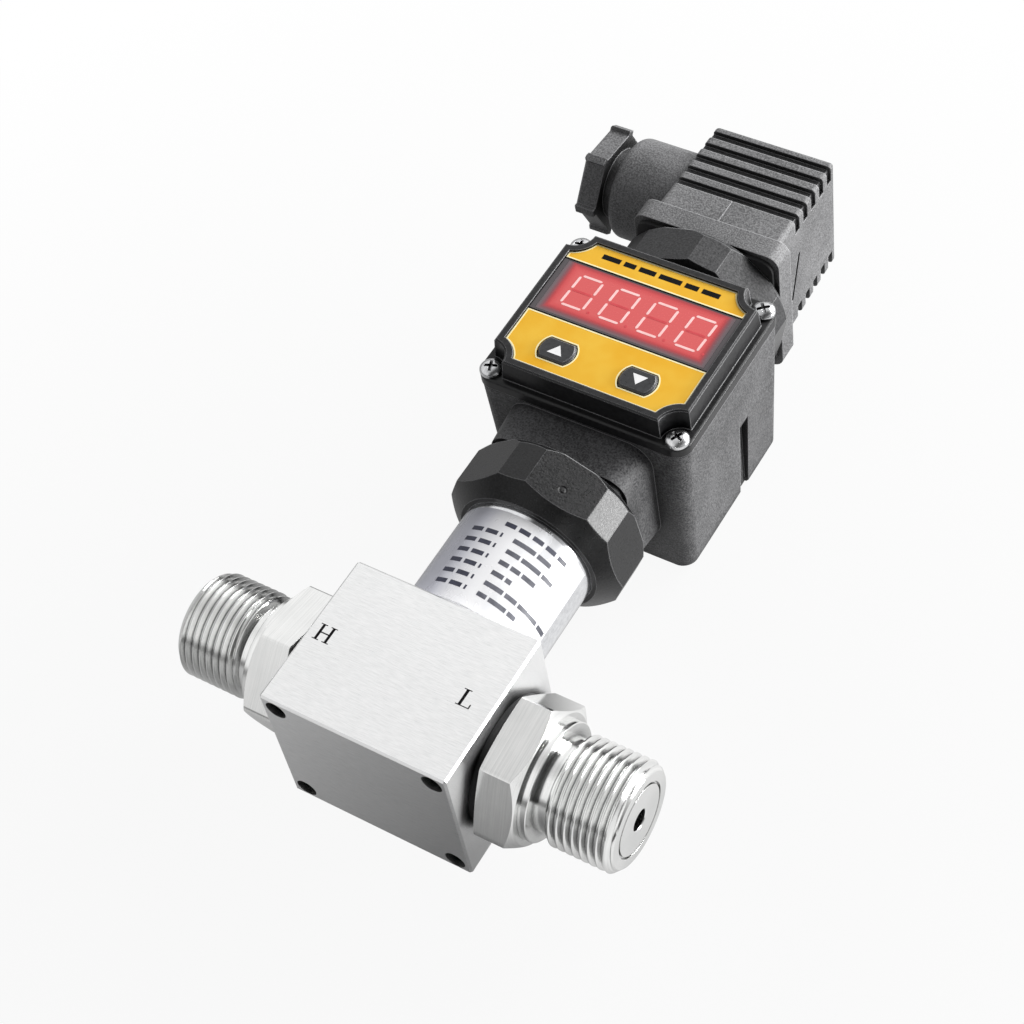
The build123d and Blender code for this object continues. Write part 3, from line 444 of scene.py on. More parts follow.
STEEL_BLOCK = brushed_steel(
    "brushed_block_steel", srgb(230, 231, 231), srgb(252, 252, 252),
    rough=(0.26, 0.4), stretch=(420, 7000, 7000), relief=0.16, hollow_shade=srgb(8, 8, 9),
)
STEEL_TUBE = brushed_steel(
    "polished_tube_steel", srgb(214, 215, 218), srgb(238, 239, 241),
    rough=(0.1, 0.2), stretch=(900, 900, 900), relief=0.03,
)
STEEL_TURNED = turned_steel(
    "turned_fitting_steel", srgb(230, 231, 230), srgb(252, 252, 251),
    rough=(0.12, 0.22), hollow_shade=srgb(14, 14, 15),
)
STEEL_SCREW = turned_steel(
    "plated_screw_steel", srgb(190, 191, 193), srgb(232, 232, 233),
    rough=(0.16, 0.3), hollow_shade=srgb(28, 28, 30),
)
BRASS = turned_steel(
    "turned_brass", srgb(184, 150, 82), srgb(214, 184, 112), rough=(0.22, 0.36)
)
TINNED = turned_steel(
    "tinned_contact", srgb(196, 194, 184), srgb(226, 224, 214), rough=(0.24, 0.38)
)
BLACK_CASE = moulded_plastic(
    "case_black", srgb(56, 56, 57), srgb(114, 114, 115),
    grain_scale=2600.0, relief=1.0, rough=(0.42, 0.6), gloss=0.25,
    edge_highlight_color=srgb(176, 176, 178), edge_highlight_share=0.7, crevice_shade=srgb(8, 8, 9),
)
BLACK_PLUG = moulded_plastic(
    "plug_black", srgb(70, 70, 71), srgb(130, 130, 131),
    grain_scale=3000.0, relief=1.0, rough=(0.42, 0.6),
    edge_highlight_color=srgb(186, 186, 188), edge_highlight_share=0.75, crevice_shade=srgb(8, 8, 9),
)
BLACK_SMOOTH = moulded_plastic(
    "smooth_black", srgb(28, 28, 29), srgb(42, 42, 43),
    grain_scale=1400.0, relief=0.14, rough=(0.28, 0.38), gloss=0.3,
    edge_highlight_color=srgb(170, 170, 172), edge_highlight_share=0.85, crevice_shade=srgb(6, 6, 7),
)
# Painted shade: the lower base is a darker copy of the base plastic, for the shade that falls on
# it.
LOWER_BASE_SHADED = moulded_plastic(
    "lower_base_painted_shade", srgb(14, 14, 15), srgb(34, 34, 35),
    grain_scale=2600.0, relief=0.3, rough=(0.26, 0.36), gloss=0.35, gate=GATE_PLACE,
    edge_highlight_color=srgb(186, 186, 188), edge_highlight_share=0.8, crevice_shade=srgb(4, 4, 5),
)
# Painted light: the upper base is a lighter copy of the base plastic, for the light its facets
# catch.
UPPER_BASE_LIT = moulded_plastic(
    "upper_base_painted_light", srgb(38, 38, 39), srgb(68, 68, 69),
    grain_scale=2600.0, relief=0.3, rough=(0.28, 0.38), gloss=0.3,
    edge_highlight_color=srgb(186, 186, 188), edge_highlight_share=0.8, crevice_shade=srgb(4, 4, 5),
)
KEY_GREY = moulded_plastic(
    "key_grey", srgb(34, 35, 37), srgb(48, 49, 51),
    grain_scale=1300.0, relief=0.1, rough=(0.26, 0.36),
    edge_highlight_color=srgb(190, 190, 192), edge_highlight_share=0.6,
)
RUBBER = moulded_plastic(
    "dull_rubber", srgb(26, 26, 27), srgb(42, 42, 43),
    grain_scale=3000.0, relief=0.3, rough=(0.62, 0.78),
)
BOARD = moulded_plastic(
    "board_green", srgb(18, 84, 48), srgb(32, 112, 66),
    grain_scale=1800.0, relief=0.1, rough=(0.34, 0.46),
)
COMPONENT = moulded_plastic(
    "component_black", srgb(40, 40, 42), srgb(58, 58, 60),
    grain_scale=2600.0, relief=0.2, rough=(0.5, 0.64),
)
LED_BODY = plain_print("led_body", srgb(196, 64, 66), srgb(216, 78, 80), roughness=0.3)
YELLOW = overlay_film()
WINDOW = window_film()
FILM = film_with_painted_light()
INK = plain_print("black_ink", srgb(8, 8, 9), srgb(16, 16, 18), roughness=0.6, gloss=0.1)
BLUE_INK = plain_print("blue_grey_ink", srgb(38, 40, 56), srgb(54, 56, 74))
GREY_INK = plain_print("grey_ink", srgb(62, 63, 72), srgb(84, 85, 94))
CREAM = plain_print("cream_line", srgb(250, 236, 176), srgb(254, 244, 200), roughness=0.42)
WHITE_MARK = plain_print("white_mark", srgb(232, 232, 232), srgb(246, 246, 246))
LIT = plain_print("lit_segment", srgb(238, 190, 188), srgb(243, 202, 200), glow=0.08)
DIM = plain_print("dim_segment", srgb(198, 62, 68), srgb(206, 70, 76))

NODE_MATERIALS = {
    "manifold_block": STEEL_BLOCK,
    "high_port_fitting": STEEL_TURNED,
    "low_port_fitting": STEEL_TURNED,
    "high_port_seal": RUBBER,
    "low_port_seal": RUBBER,
    "sensor_cell": STEEL_TURNED,
    "cell_seals": RUBBER,
    "cell_header": STEEL_TURNED,
    "cell_leads": TINNED,
    "sensor_tube": STEEL_TUBE,
    "tube_foil": FILM,
    "amplifier_board": BOARD,
    "amplifier_parts": COMPONENT,
    "lower_plug_base": LOWER_BASE_SHADED,
    "lower_plug_insert": BRASS,
    "lower_plug_pins": TINNED,
    "lower_gasket": RUBBER,
    "plinth_screw": STEEL_SCREW,
    "display_housing": BLACK_CASE,
    "socket_contacts": TINNED,
    "cover_seal": RUBBER,
    "display_cover": BLACK_SMOOTH,
    "cover_screws": STEEL_SCREW,
    "face_overlay": YELLOW,
    "display_window": WINDOW,
    "led_module": LED_BODY,
    "display_board": BOARD,
    "driver_board": BOARD,
    "board_header": COMPONENT,
    "button_switches": COMPONENT,
    "up_button": KEY_GREY,
    "down_button": KEY_GREY,
    "upper_plug_base": UPPER_BASE_LIT,
    "upper_plug_insert": BRASS,
    "upper_plug_pins": TINNED,
    "upper_gasket": RUBBER,
    "connector_housing": BLACK_PLUG,
    "terminal_block": COMPONENT,
    "terminal_clamps": TINNED,
    "terminal_screws": STEEL_SCREW,
    "fixing_screw_seal": RUBBER,
    "fixing_screw": STEEL_SCREW,
    "gland_thrust_ring": BLACK_SMOOTH,
    "gland_seal": RUBBER,
    "gland_nut": BLACK_PLUG,
}
for node_name, material in NODE_MATERIALS.items():
    nodes[node_name].data.materials.clear()
    nodes[node_name].data.materials.append(material)


def add_piece(name, mesh, material, body=ROOT):
    """Puts a finished mesh into the scene, on the body that carries it."""
    piece = bpy.data.objects.new(name, mesh)
    bpy.context.scene.collection.objects.link(piece)
    mesh.materials.append(material)
    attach(piece, body)
    return piece


def clean_mesh(name, points, faces, sharp_angle=30.0):
    """A mesh with doubled points joined, outward normals, and smooth faces between sharp edges."""
    build = bmesh.new()
    made = [build.verts.new(point) for point in points]
    for face in faces:
        build.faces.new([made[index] for index in face])
    bmesh.ops.remove_doubles(build, verts=build.verts, dist=0.002 * MM)
    bmesh.ops.dissolve_degenerate(build, edges=build.edges, dist=0.001 * MM)
    bmesh.ops.recalc_face_normals(build, faces=build.faces)
    mesh = bpy.data.meshes.new(name)
    build.to_mesh(mesh)
    build.free()
    mesh.polygons.foreach_set("use_smooth", [True] * len(mesh.polygons))
    mesh.set_sharp_from_angle(angle=math.radians(sharp_angle))
    return mesh


def plates(name, outlines, z, thickness):
    """Thin plates on the display face, one for each outline of (x, y) points."""
    points = []
    faces = []
    for outline in outlines:
        start = len(points)
        count = len(outline)
        points += [(x, y, z) for x, y in outline]
        points += [(x, y, z + thickness) for x, y in outline]
        faces.append(range(start, start + count))
        faces.append(range(start + count, start + 2 * count))
        for index in range(count):
            here = start + index
            after = start + (index + 1) % count
            faces.append((here, after, after + count, here + count))
    return clean_mesh(name, points, faces)


def ribbon(name, loops, width, z, thickness):
    """Raised lines of one width, each drawn inwards from a closed loop of (x, y) points."""
    points = []
    faces = []
    for loop in loops:
        count = len(loop)
        start = len(points)
        inner = inset_loop(loop, width)
        for height in (z, z + thickness):
            points += [(x, y, height) for x, y in loop]
            points += [(x, y, height) for x, y in inner]
        for index in range(count):
            after = (index + 1) % count
            outer_low, inner_low = start, start + count
            outer_high, inner_high = start + 2 * count, start + 3 * count
            for first, second in (
                (outer_low, inner_low), (outer_high, inner_high),
                (outer_low, outer_high), (inner_low, inner_high),
            ):
                faces.append((first + index, first + after, second + after, second + index))
    return clean_mesh(name, points, faces)


def inset_loop(loop, distance):
    """A closed loop, given anticlockwise, drawn inwards by the distance."""
    result = []
    count = len(loop)
    for index in range(count):
        before = Vector(loop[index - 1])
        here = Vector(loop[index])
        after = Vector(loop[(index + 1) % count])
        first = (here - before).normalized()
        second = (after - here).normalized()
        first_side = Vector((-first.y, first.x))
        second_side = Vector((-second.y, second.x))
        middle = (first_side + second_side).normalized()
        moved = here + middle * (distance / max(0.4, middle.dot(first_side)))
        result.append((moved.x, moved.y))
    return result


def arc(center_x, center_y, radius, start, end, steps):
    """Points along an arc, from one angle in degrees to another."""
    points = []
    for step in range(steps + 1):
        angle = math.radians(start + (end - start) * step / steps)
        points.append((center_x + radius * math.cos(angle), center_y + radius * math.sin(angle)))
    return points


def rectangle(left, low, right, high):
    """A rectangle's corners, anticlockwise."""
    return [(left, low), (right, low), (right, high), (left, high)]


def field_outline(upper):
    """The upper or lower yellow field's outline, with its two notched corners, anticlockwise."""
    reach_x = math.sqrt(NOTCH_R ** 2 - (NOTCH_Y - FIELD_HALF_Y) ** 2)
    reach_y = math.sqrt(NOTCH_R ** 2 - (NOTCH_X - FIELD_HALF_X) ** 2)
    side_angle = math.degrees(math.atan2(reach_y, NOTCH_X - FIELD_HALF_X))
    end_angle = math.degrees(math.atan2(NOTCH_Y - FIELD_HALF_Y, reach_x))
    steps = 12
    if upper:
        lower_edge = [(-FIELD_HALF_X, BAND_HIGH_Y), (FIELD_HALF_X, BAND_HIGH_Y)]
        right = arc(NOTCH_X, HEAD_Y + NOTCH_Y, NOTCH_R, 180 + side_angle, 180 + end_angle, steps)
        left = arc(-NOTCH_X, HEAD_Y + NOTCH_Y, NOTCH_R, -end_angle, -side_angle, steps)
        return lower_edge + right + left
    upper_edge = [(FIELD_HALF_X, BAND_LOW_Y), (-FIELD_HALF_X, BAND_LOW_Y)]
    left = arc(-NOTCH_X, HEAD_Y - NOTCH_Y, NOTCH_R, side_angle, end_angle, steps)
    right = arc(NOTCH_X, HEAD_Y - NOTCH_Y, NOTCH_R, 180 - end_angle, 180 - side_angle, steps)
    return upper_edge + left + right


def build_face_lines():
    """Cream lines round the two yellow fields, and a black line along each side of the band."""
    loops = [field_outline(True), field_outline(False)]
    mesh = ribbon("field_lines", loops, LINE_WIDTH, FACE_Z, PRINT_LIFT)
    add_piece("field_lines", mesh, CREAM)
    bar_width = 0.35 * MM
    bars = [
        rectangle(-FIELD_HALF_X, BAND_LOW_Y, FIELD_HALF_X, BAND_LOW_Y + bar_width),
        rectangle(-FIELD_HALF_X, BAND_HIGH_Y - bar_width, FIELD_HALF_X, BAND_HIGH_Y),
    ]
    add_piece("band_lines", plates("band_lines", bars, FACE_Z, PRINT_LIFT), INK)


def segment_bar(start, end, width, slant):
    """A bar with pointed ends between two points, leaning by the slant."""
    line = Vector(end) - Vector(start)
    along = line.normalized() * width / 2
    across = Vector((-along.y, along.x))
    first = Vector(start)
    last = Vector(end)
    corners = [
        first,
        first + along - across,
        last - along - across,
        last,
        last - along + across,
        first + along + across,
    ]
    return [(corner.x + corner.y * slant, corner.y) for corner in corners]


def build_digits():
    """Four seven-segment zeros: the six outer segments are lit, and the middle one is dim."""
    digit_count = 4
    digit_width = 4.65 * MM
    digit_height = 7.5 * MM
    pitch = 7.85 * MM
    first_left = -13.75 * MM
    base_y = LED_LOW_Y + 1.4 * MM
    bar = 0.5 * MM
    gap = 0.28 * MM
    slant = math.tan(math.radians(3.0))
    point_r = 0.3 * MM
    point_offset = 1.3 * MM
    lit = []
    dim = []
    middle = digit_height / 2
    for number in range(digit_count):
        left = first_left + number * pitch
        right = left + digit_width
        ends = [((left + gap, y), (right - gap, y)) for y in (0, digit_height)]
        ends += [((x, gap), (x, middle - gap)) for x in (left, right)]
        ends += [((x, middle + gap), (x, digit_height - gap)) for x in (left, right)]
        for start, end in ends:
            lit.append([(x, y + base_y) for x, y in segment_bar(start, end, bar, slant)])
        center = segment_bar((left + gap, middle), (right - gap, middle), bar, slant)
        dim.append([(x, y + base_y) for x, y in center])
        dim.append(arc(right + point_offset, base_y, point_r, 0, 330, 11))
    window_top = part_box("display_window")[1][2]
    add_piece("lit_segments", plates("lit_segments", lit, window_top, PRINT_LIFT), LIT)
    add_piece("dim_segments", plates("dim_segments", dim, window_top, PRINT_LIFT), DIM)


def build_title_dashes():
    """A row of plain dashes on the upper yellow field."""
    dash_height = 1.15 * MM
    dash_gap = 0.78 * MM
    lengths = (3.8, 2.4, 3.4, 4.6, 2.7, 3.6)
    total = sum(lengths) * MM + dash_gap * (len(lengths) - 1)
    x = -total / 2
    y = BAND_HIGH_Y + 2.3 * MM
    outlines = []
    for length in lengths:
        end = x + length * MM
        outlines.append(rectangle(x, y, end, y + dash_height))
        x = end + dash_gap
    mesh = plates("title_dashes", outlines, FACE_Z, PRINT_LIFT)
    add_piece("title_dashes", mesh, INK)


def key_outline(center, radius, half_height):
    """A key's outline: a circle with its top and bottom cut flat, anticlockwise."""
    cut = math.degrees(math.asin(half_height / radius))
    right = arc(center[0], center[1], radius, -cut, cut, 16)
    left = arc(center[0], center[1], radius, 180 - cut, 180 + cut, 16)
    return right + left


def build_key_marks():
    """The cream line round each key, and the white triangle on it."""
    key_r = 3.55 * MM
    key_half_height = 2.45 * MM
    gap = 0.2 * MM
    triangle_half_width = 1.5 * MM
    triangle_half_height = 1.1 * MM
    tip_offset = 0.1 * MM
    mark_inset = 0.1 * MM
    margin = gap + LINE_WIDTH
    loops = []
    for name, turn in (("up_button", 1), ("down_button", -1)):
        low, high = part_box(name)
        x, y = (low[0] + high[0]) / 2, (low[1] + high[1]) / 2
        loops.append(key_outline((x, y), key_r + margin, key_half_height + margin))
        foot_y = y - turn * triangle_half_height
        triangle = [
            (x + tip_offset, y + turn * triangle_half_height),
            (x - triangle_half_width, foot_y),
            (x + triangle_half_width, foot_y),
        ]
        mark = plates(f"{name}_mark", [triangle], high[2] - mark_inset, mark_inset + PRINT_LIFT)
        add_piece(f"{name}_mark", mark, WHITE_MARK, body=name)
    lines = ribbon("key_lines", loops, LINE_WIDTH, FACE_Z, PRINT_LIFT)
    add_piece("key_lines", lines, CREAM)


def letter_strokes(letter):
    """A serif letter's strokes in a square of side 1, each as (left, low, right, high)."""
    if letter == "H":
        stems = ((0.12, 0.0, 0.27, 1.0), (0.73, 0.0, 0.88, 1.0), (0.27, 0.47, 0.73, 0.54))
        serifs = [
            (left, low, left + 0.39, low + 0.05) for left in (0.0, 0.61) for low in (0.0, 0.95)
        ]
        return (*stems, *serifs)
    stem, foot = (0.2, 0.05, 0.36, 0.95), (0.06, 0.0, 0.86, 0.05)
    head_serif, foot_serif = (0.06, 0.95, 0.5, 1.0), (0.79, 0.05, 0.86, 0.27)
    return (stem, foot, head_serif, foot_serif)


def build_port_letters():
    """The marks of the high-pressure and low-pressure side on the block's top face."""
    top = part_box("manifold_block")[1][2]
    size = 3.3 * MM
    places = {"H": (-15.2 * MM, 15.3 * MM), "L": (13.4 * MM, 15.2 * MM)}
    for letter, (center_x, center_y) in places.items():
        x = center_x - size / 2
        y = center_y - size / 2
        outlines = [
            rectangle(x + left * size, y + low * size, x + right * size, y + high * size)
            for left, low, right, high in letter_strokes(letter)
        ]
        mesh = plates(f"port_letter_{letter}", outlines, top, PRINT_LIFT)
        add_piece(f"port_letter_{letter}", mesh, INK)


def wrapped_strip(radius, top_y, height, start, end):
    """Points and faces of a thin strip round the tube, between two angles in degrees over +X."""
    degrees_per_step = 3
    steps = max(2, round(abs(end - start) / degrees_per_step))
    points = []
    faces = []
    for step in range(steps + 1):
        angle = math.radians(start + (end - start) * step / steps)
        for r in (radius, radius + PRINT_LIFT):
            for y in (top_y, top_y - height):
                points.append((r * math.cos(angle), y, r * math.sin(angle)))
    for step in range(steps):
        a = 4 * step
        b = a + 4
        faces += [(a, a + 1, b + 1, b), (a + 2, a + 3, b + 3, b + 2)]
        faces += [(a, b, b + 2, a + 2), (a + 1, b + 1, b + 3, a + 3)]
    last = 4 * steps
    faces += [(0, 1, 3, 2), (last, last + 1, last + 3, last + 2)]
    return points, faces


def split_run(start, end, shares, gap):
    """The (start, end) angles of dashes that fill a run from start down to end, with gaps."""
    free = start - end - gap * (len(shares) - 1)
    total = sum(shares)
    runs = []
    at = start
    for share in shares:
        stop = at - free * share / total
        runs.append((at, stop))
        at = stop - gap
    return runs


def build_tube_print():
    """Plain dashes round the upper side of the tube: a heading, then rows of label and value."""
    low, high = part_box("tube_foil")
    radius = high[2]
    row_height = 0.92 * MM
    row_pitch = 2.43 * MM
    first_row_y = high[1] - 1.9 * MM
    label_start, label_end = 117, 93
    colon, colon_half = 89.5, 0.8
    value_start = 79
    heading_start, heading_end = 92, 34
    value_ends = (44, 34, 46, 62, 14, 44)
    value_shares = ((3, 2), (2, 3, 2), (2, 2, 3), (2, 1), (3, 2, 4, 2), (1, 2, 1))
    blue = [(first_row_y, run) for run in split_run(heading_start, heading_end, (1, 1, 1, 1, 1), 3)]
    grey = []
    for number, (value_end, shares) in enumerate(zip(value_ends, value_shares)):
        y = first_row_y - (number + 1) * row_pitch
        blue += [(y, run) for run in split_run(label_start, label_end, (1, 1), 3)]
        blue.append((y, (colon + colon_half, colon - colon_half)))
        grey += [(y, run) for run in split_run(value_start, value_end, shares, 2)]
    for name, rows, material in (("tube_labels", blue, BLUE_INK), ("tube_values", grey, GREY_INK)):
        points = []
        faces = []
        for y, (start, end) in rows:
            strip_points, strip_faces = wrapped_strip(radius, y, row_height, start, end)
            offset = len(points)
            points += strip_points
            faces += [tuple(index + offset for index in face) for face in strip_faces]
        add_piece(name, clean_mesh(name, points, faces), material)


def hexagon_radius(angle, turn):
    """The hexagon's radius at an angle, with a corner at the turn."""
    within = (angle - turn) % 60 - 30
    return HEX_APOTHEM / math.cos(math.radians(within))


def thread_radius(x, phase, thread_start, end_x):
    """The thread's radius at a station, cut back by a cone at its start and at its end."""
    stops = THREAD_PROFILE + ((1.0, THREAD_PROFILE[0][1]),)
    share = phase % 1.0
    depth = 0.0
    for (low, low_depth), (high, high_depth) in zip(stops, stops[1:]):
        if low <= share <= high:
            depth = low_depth + (high_depth - low_depth) * (share - low) / (high - low)
    end_cone = THREAD_R - max(0.0, x - (end_x - THREAD_LEAD))
    start_cone = RELIEF_R + (x - thread_start) * THREAD_START_SLOPE
    return min(THREAD_R - depth * THREAD_DEPTH, end_cone, start_cone)


def fitting_column(angle, side, turn, end_x):
    """The fitting's profile at one angle, as (distance from the middle, radius) points."""
    thread_start = end_x - THREAD_LENGTH
    relief_start = thread_start - RELIEF_LENGTH
    collar_start = relief_start - COLLAR_LENGTH
    hex_start = collar_start - HEX_LENGTH
    corner_r = hexagon_radius(angle, turn)
    drop = corner_r - HEX_LAND_R
    run = drop * math.tan(math.radians(HEX_CHAMFER_ANGLE))
    column = [
        (hex_start, PORT_BORE_R),
        (hex_start, corner_r - HEX_BACK_SHARE * drop),
        (hex_start + HEX_BACK_SHARE * run, corner_r),
        (collar_start - run, corner_r),
        (collar_start, HEX_LAND_R),
        (collar_start, COLLAR_R),
        (relief_start - SMALL_EDGE, COLLAR_R),
        (relief_start, COLLAR_R - SMALL_EDGE),
        (relief_start, RELIEF_R),
    ]
    turn_share = side * angle / 360
    rounds = math.ceil(THREAD_LENGTH / THREAD_PITCH) + 1
    for round_number in range(-1, rounds + 1):
        for offset, _ in THREAD_PROFILE:
            x = thread_start + (round_number + offset + turn_share) * THREAD_PITCH
            x = min(max(x, thread_start), end_x)
            phase = (x - thread_start) / THREAD_PITCH - turn_share
            column.append((x, thread_radius(x, phase, thread_start, end_x)))
    column += [
        (end_x, END_GROOVE_R + END_GROOVE_WIDTH),
        (end_x - END_GROOVE_DEPTH, END_GROOVE_R + END_GROOVE_WIDTH - SMALL_EDGE / 2),
        (end_x - END_GROOVE_DEPTH, END_GROOVE_R + SMALL_EDGE / 2),
        (end_x, END_GROOVE_R),
        (end_x, PORT_BORE_R + SMALL_EDGE),
        (end_x - SMALL_EDGE, PORT_BORE_R),
        (hex_start, PORT_BORE_R),
    ]
    return column


def build_fitting(name, side):
    """A port fitting: chamfered hexagon, collar, relief, right-hand thread and end face."""
    low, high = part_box(f"{name}_port_fitting")
    end_x = max(abs(low.x), abs(high.x))
    points = []
    faces = []
    for number in range(FITTING_COLUMNS + 1):
        angle = 360 * number / FITTING_COLUMNS
        column = fitting_column(angle, side, HEX_TURN[name], end_x)
        for x, radius in column:
            y = PORT_Y + radius * math.cos(math.radians(angle))
            points.append((side * x, y, radius * math.sin(math.radians(angle))))
    rings = len(column)
    for number in range(FITTING_COLUMNS):
        for ring in range(rings - 1):
            here = number * rings + ring
            faces.append((here, here + 1, here + rings + 1, here + rings))
    mesh = clean_mesh(f"{name}_fitting", points, faces)
    piece = add_piece(f"{name}_fitting", mesh, STEEL_TURNED)
    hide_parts(f"{name}_port_fitting")


def turned_points(profile, columns):
    """Points and faces of a (radius, height) profile turned about Z."""
    points = []
    faces = []
    for number in range(columns):
        angle = 2 * math.pi * number / columns
        across, along = math.cos(angle), math.sin(angle)
        points += [(radius * across, radius * along, height) for radius, height in profile]
    rings = len(profile)
    for number in range(columns):
        for ring in range(rings - 1):
            here = number * rings + ring
            after = (number + 1) % columns * rings + ring
            faces.append((here, after, after + 1, here + 1))
    return points, faces


def cross_cutter(arm_length, arm_width, top, depth):
    """A cross-shaped wedge that cuts a screw's recess."""
    foot_share = 0.45
    build = bmesh.new()
    for turn in (0, math.pi / 2):
        corners = []
        for height, narrow in ((top, 1.0), (top - depth, foot_share)):
            for x_side, y_side in ((-1, -1), (1, -1), (1, 1), (-1, 1)):
                x = x_side * arm_length / 2 * narrow
                y = y_side * arm_width / 2 * (0.5 + narrow / 2)
                point = Matrix.Rotation(turn, 3, "Z") @ Vector((x, y, height))
                corners.append(build.verts.new(point))
        sides = [(index, index + 4, (index + 1) % 4 + 4, (index + 1) % 4) for index in range(4)]
        for face in ((0, 1, 2, 3), (7, 6, 5, 4), *sides):
            build.faces.new([corners[index] for index in face])
    bmesh.ops.recalc_face_normals(build, faces=build.faces)
    mesh = bpy.data.meshes.new("cross_cutter")
    build.to_mesh(mesh)
    build.free()
    return mesh


def cut_mesh(mesh, cutter):
    """The mesh with the cutter's shape taken out of it."""
    body = bpy.data.objects.new("cut_body", mesh)
    tool = bpy.data.objects.new("cut_tool", cutter)
    for item in (body, tool):
        bpy.context.scene.collection.objects.link(item)
    modifier = body.modifiers.new("cut", "BOOLEAN")
    modifier.operation = "DIFFERENCE"
    modifier.object = tool
    modifier.solver = "EXACT"
    modifier.use_self = True
    bpy.context.view_layer.update()
    cut = bpy.data.meshes.new_from_object(body.evaluated_get(bpy.context.evaluated_depsgraph_get()))
    for item in (body, tool):
        bpy.data.objects.remove(item)
    return cut


def screw_profile(low_z, top_z, head_r):
    """The (radius, height) profile of a screw with a domed head."""
    head_height = 1.3 * MM
    rim_height = 0.35 * MM
    shank_r = 1.1 * MM
    dome_steps = 8
    dome_fullness = 0.75
    seat_z = top_z - head_height
    rim_z = seat_z + rim_height
    profile = [(0.0, low_z), (shank_r, low_z), (shank_r, seat_z), (head_r, seat_z), (head_r, rim_z)]
    for step in range(1, dome_steps):
        angle = math.pi / 2 * step / dome_steps
        rise = math.sin(angle) * (head_height - rim_height)
        profile.append((head_r * math.cos(angle) ** dome_fullness, rim_z + rise))
    return profile + [(0.0, top_z)]


def build_cover_screws():
    """The four cover screws: domed heads with a cross recess."""
    low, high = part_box("cover_screws")
    head_r = 2.2 * MM
    points, faces = turned_points(screw_profile(low.z, high.z, head_r), columns=64)
    head = clean_mesh("screw_head", points, faces, sharp_angle=50)
    cutter = cross_cutter(
        arm_length=2.9 * MM, arm_width=0.62 * MM, top=high.z + 0.1 * MM, depth=1.0 * MM
    )
    cut = cut_mesh(head, cutter)
    gathered = bmesh.new()
    turns = (20, 62, 8, 40)
    left_right = (low.x + head_r, high.x - head_r)
    low_high = (low.y + head_r, high.y - head_r)
    places = [(x, y) for y in low_high for x in left_right]
    for (x, y), degrees in zip(places, turns):
        turn = Matrix.Rotation(math.radians(degrees), 4, "Z")
        placed = cut.copy()
        placed.transform(Matrix.Translation((x, y, 0)) @ turn)
        gathered.from_mesh(placed)
        bpy.data.meshes.remove(placed)
    mesh = bpy.data.meshes.new("cover_screw_heads")
    gathered.to_mesh(mesh)
    gathered.free()
    mesh.polygons.foreach_set("use_smooth", [True] * len(mesh.polygons))
    mesh.set_sharp_from_angle(angle=math.radians(40))
    mesh.materials.clear()
    piece = add_piece("cover_screw_heads", mesh, STEEL_SCREW)
    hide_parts("cover_screws")


def build_floor():
    """A pale floor that shows white to the camera, and takes the object's shadow; reflections see
    painted light on it by place.
    """
    maker = material_maker("pale_floor")
    clouds = maker.noise(3.0, detail=2.0)
    maker.finish(
        Base_Color=maker.ramp(clouds, grey_stops([(0.3, 0.27), (0.7, 0.31)])), Roughness=0.9
    )
    seen, glossy = maker.rays()
    away = maker.vector_value("LENGTH", maker.place())
    whiteness = maker.span(away, 0.08, 0.24, 0.93, 1.0)
    parts = maker.parts_of(maker.place())
    # Painted light for reflections only: glossy rays see added white, some on the left, little near
    # the middle, much on the right and beside the tube.
    by_side = maker.ramp(maker.span(parts["X"], -0.1, 0.1), grey_stops(FLOOR_BY_SIDE))
    past_block = maker.span(parts["Y"], 0.03, 0.045)
    right_of_tube = maker.span(parts["X"], 0.0, 0.015, 0.0, 0.8)
    beside_tube = maker.math("MULTIPLY", past_block, right_of_tube)
    reflected = maker.math("MULTIPLY", glossy, maker.math("MAXIMUM", by_side, beside_tube))
    share = maker.math("MULTIPLY_ADD", seen, whiteness, reflected)
    white = maker.node("ShaderNodeEmission", {"Color": WHITE, "Strength": 1.0})
    lit = maker.surface.outputs[0]
    shown = maker.node("ShaderNodeMixShader", {0: share, 1: lit, 2: white.outputs[0]})
    output = maker.tree.nodes["Material Output"]
    maker.tree.links.new(shown.outputs[0], output.inputs["Surface"])
    maker.owner.cycles.emission_sampling = "NONE"
    z = cad_box[0][2] - FLOOR_GAP
    corners = rectangle(-FLOOR_HALF, -FLOOR_HALF, FLOOR_HALF, FLOOR_HALF)
    mesh = bpy.data.meshes.new("floor")
    mesh.from_pydata([(x, y, z) for x, y in corners], [], [(0, 1, 2, 3)])
    mesh.materials.append(maker.owner)
    floor = bpy.data.objects.new("floor", mesh)
    bpy.context.scene.collection.objects.link(floor)


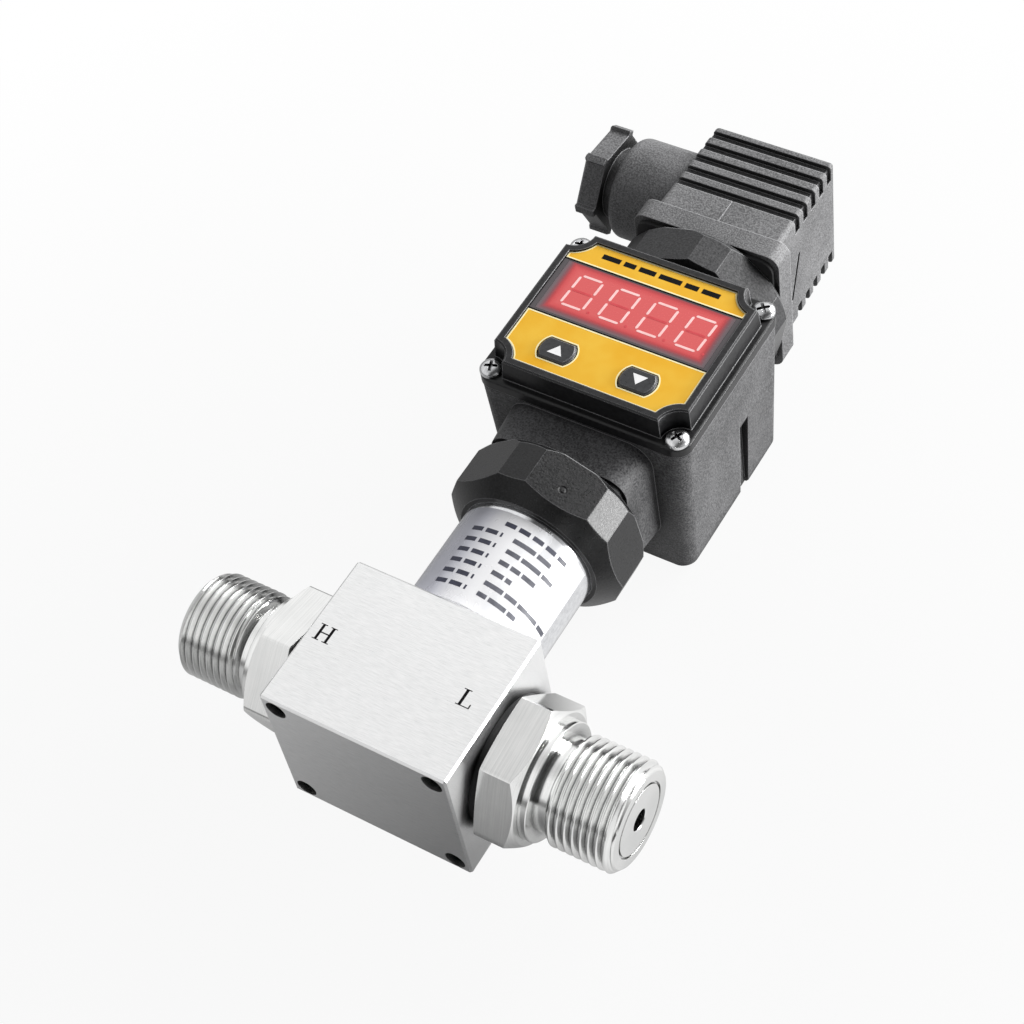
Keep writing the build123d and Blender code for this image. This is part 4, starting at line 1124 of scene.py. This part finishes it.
def build_world():
    """White to the camera; in reflections a pale room, dark low down and on its right side."""
    world = bpy.data.worlds.new("studio")
    bpy.context.scene.world = world
    maker = Maker(world)
    world.cycles.sampling_method = "NONE"
    parts = maker.parts_of(maker.node("ShaderNodeTexCoord").outputs["Generated"])
    by_height = maker.ramp(parts["Z"], grey_stops(ROOM_BY_HEIGHT))
    by_side = maker.ramp(maker.span(parts["X"], -1.0, 1.0), grey_stops(ROOM_BY_SIDE))
    reflected = maker.math("MULTIPLY", by_height, by_side)
    seen, glossy = maker.rays()
    unseen = maker.blend(glossy, AMBIENT, reflected)
    background = maker.tree.nodes["Background"]
    maker.tree.links.new(maker.blend(seen, unseen, WHITE), background.inputs["Color"])


def add_light(name, place, width, height, watts):
    """A soft rectangular lamp that points at the object."""
    data = bpy.data.lights.new(name, "AREA")
    data.shape = "RECTANGLE"
    data.size = width
    data.size_y = height
    data.energy = watts
    lamp = bpy.data.objects.new(name, data)
    bpy.context.scene.collection.objects.link(lamp)
    lamp.location = place
    lamp.rotation_euler = (Vector(LAMP_AIM) - Vector(place)).to_track_quat("-Z", "Y").to_euler()


def build_lights():
    """A low key from behind on the right, and a lower lamp at the right side."""
    add_light("key", (0.28, 0.75, 0.42), width=0.5, height=0.5, watts=10.5)
    add_light("right_side", (0.69, 0.4, 0.1), width=0.35, height=0.18, watts=6.5)


def build_camera():
    """The photograph's view, from a fit to the object's features."""
    data = bpy.data.cameras.new("photo_camera")
    data.lens = 77.85
    data.sensor_width = 36.0
    data.clip_start = 0.01
    data.clip_end = 20.0
    camera = bpy.data.objects.new("photo_camera", data)
    bpy.context.scene.collection.objects.link(camera)
    right = (0.85026, 0.5111, -0.12585)
    up = (-0.34827, 0.72553, 0.59356)
    back = (0.39467, -0.46085, 0.79489)
    place = (0.15173, -0.12565, 0.32032)
    camera.matrix_world = Matrix(
        [(right[row], up[row], back[row], place[row]) for row in range(3)] + [(0, 0, 0, 1)]
    )
    bpy.context.scene.camera = camera


build_face_lines()
build_digits()
build_title_dashes()
build_key_marks()
build_port_letters()
build_tube_print()
build_fitting("high", -1)
build_fitting("low", 1)
build_cover_screws()
build_floor()
build_world()
build_lights()
build_camera()
bpy.context.scene.view_settings.view_transform = "Standard"
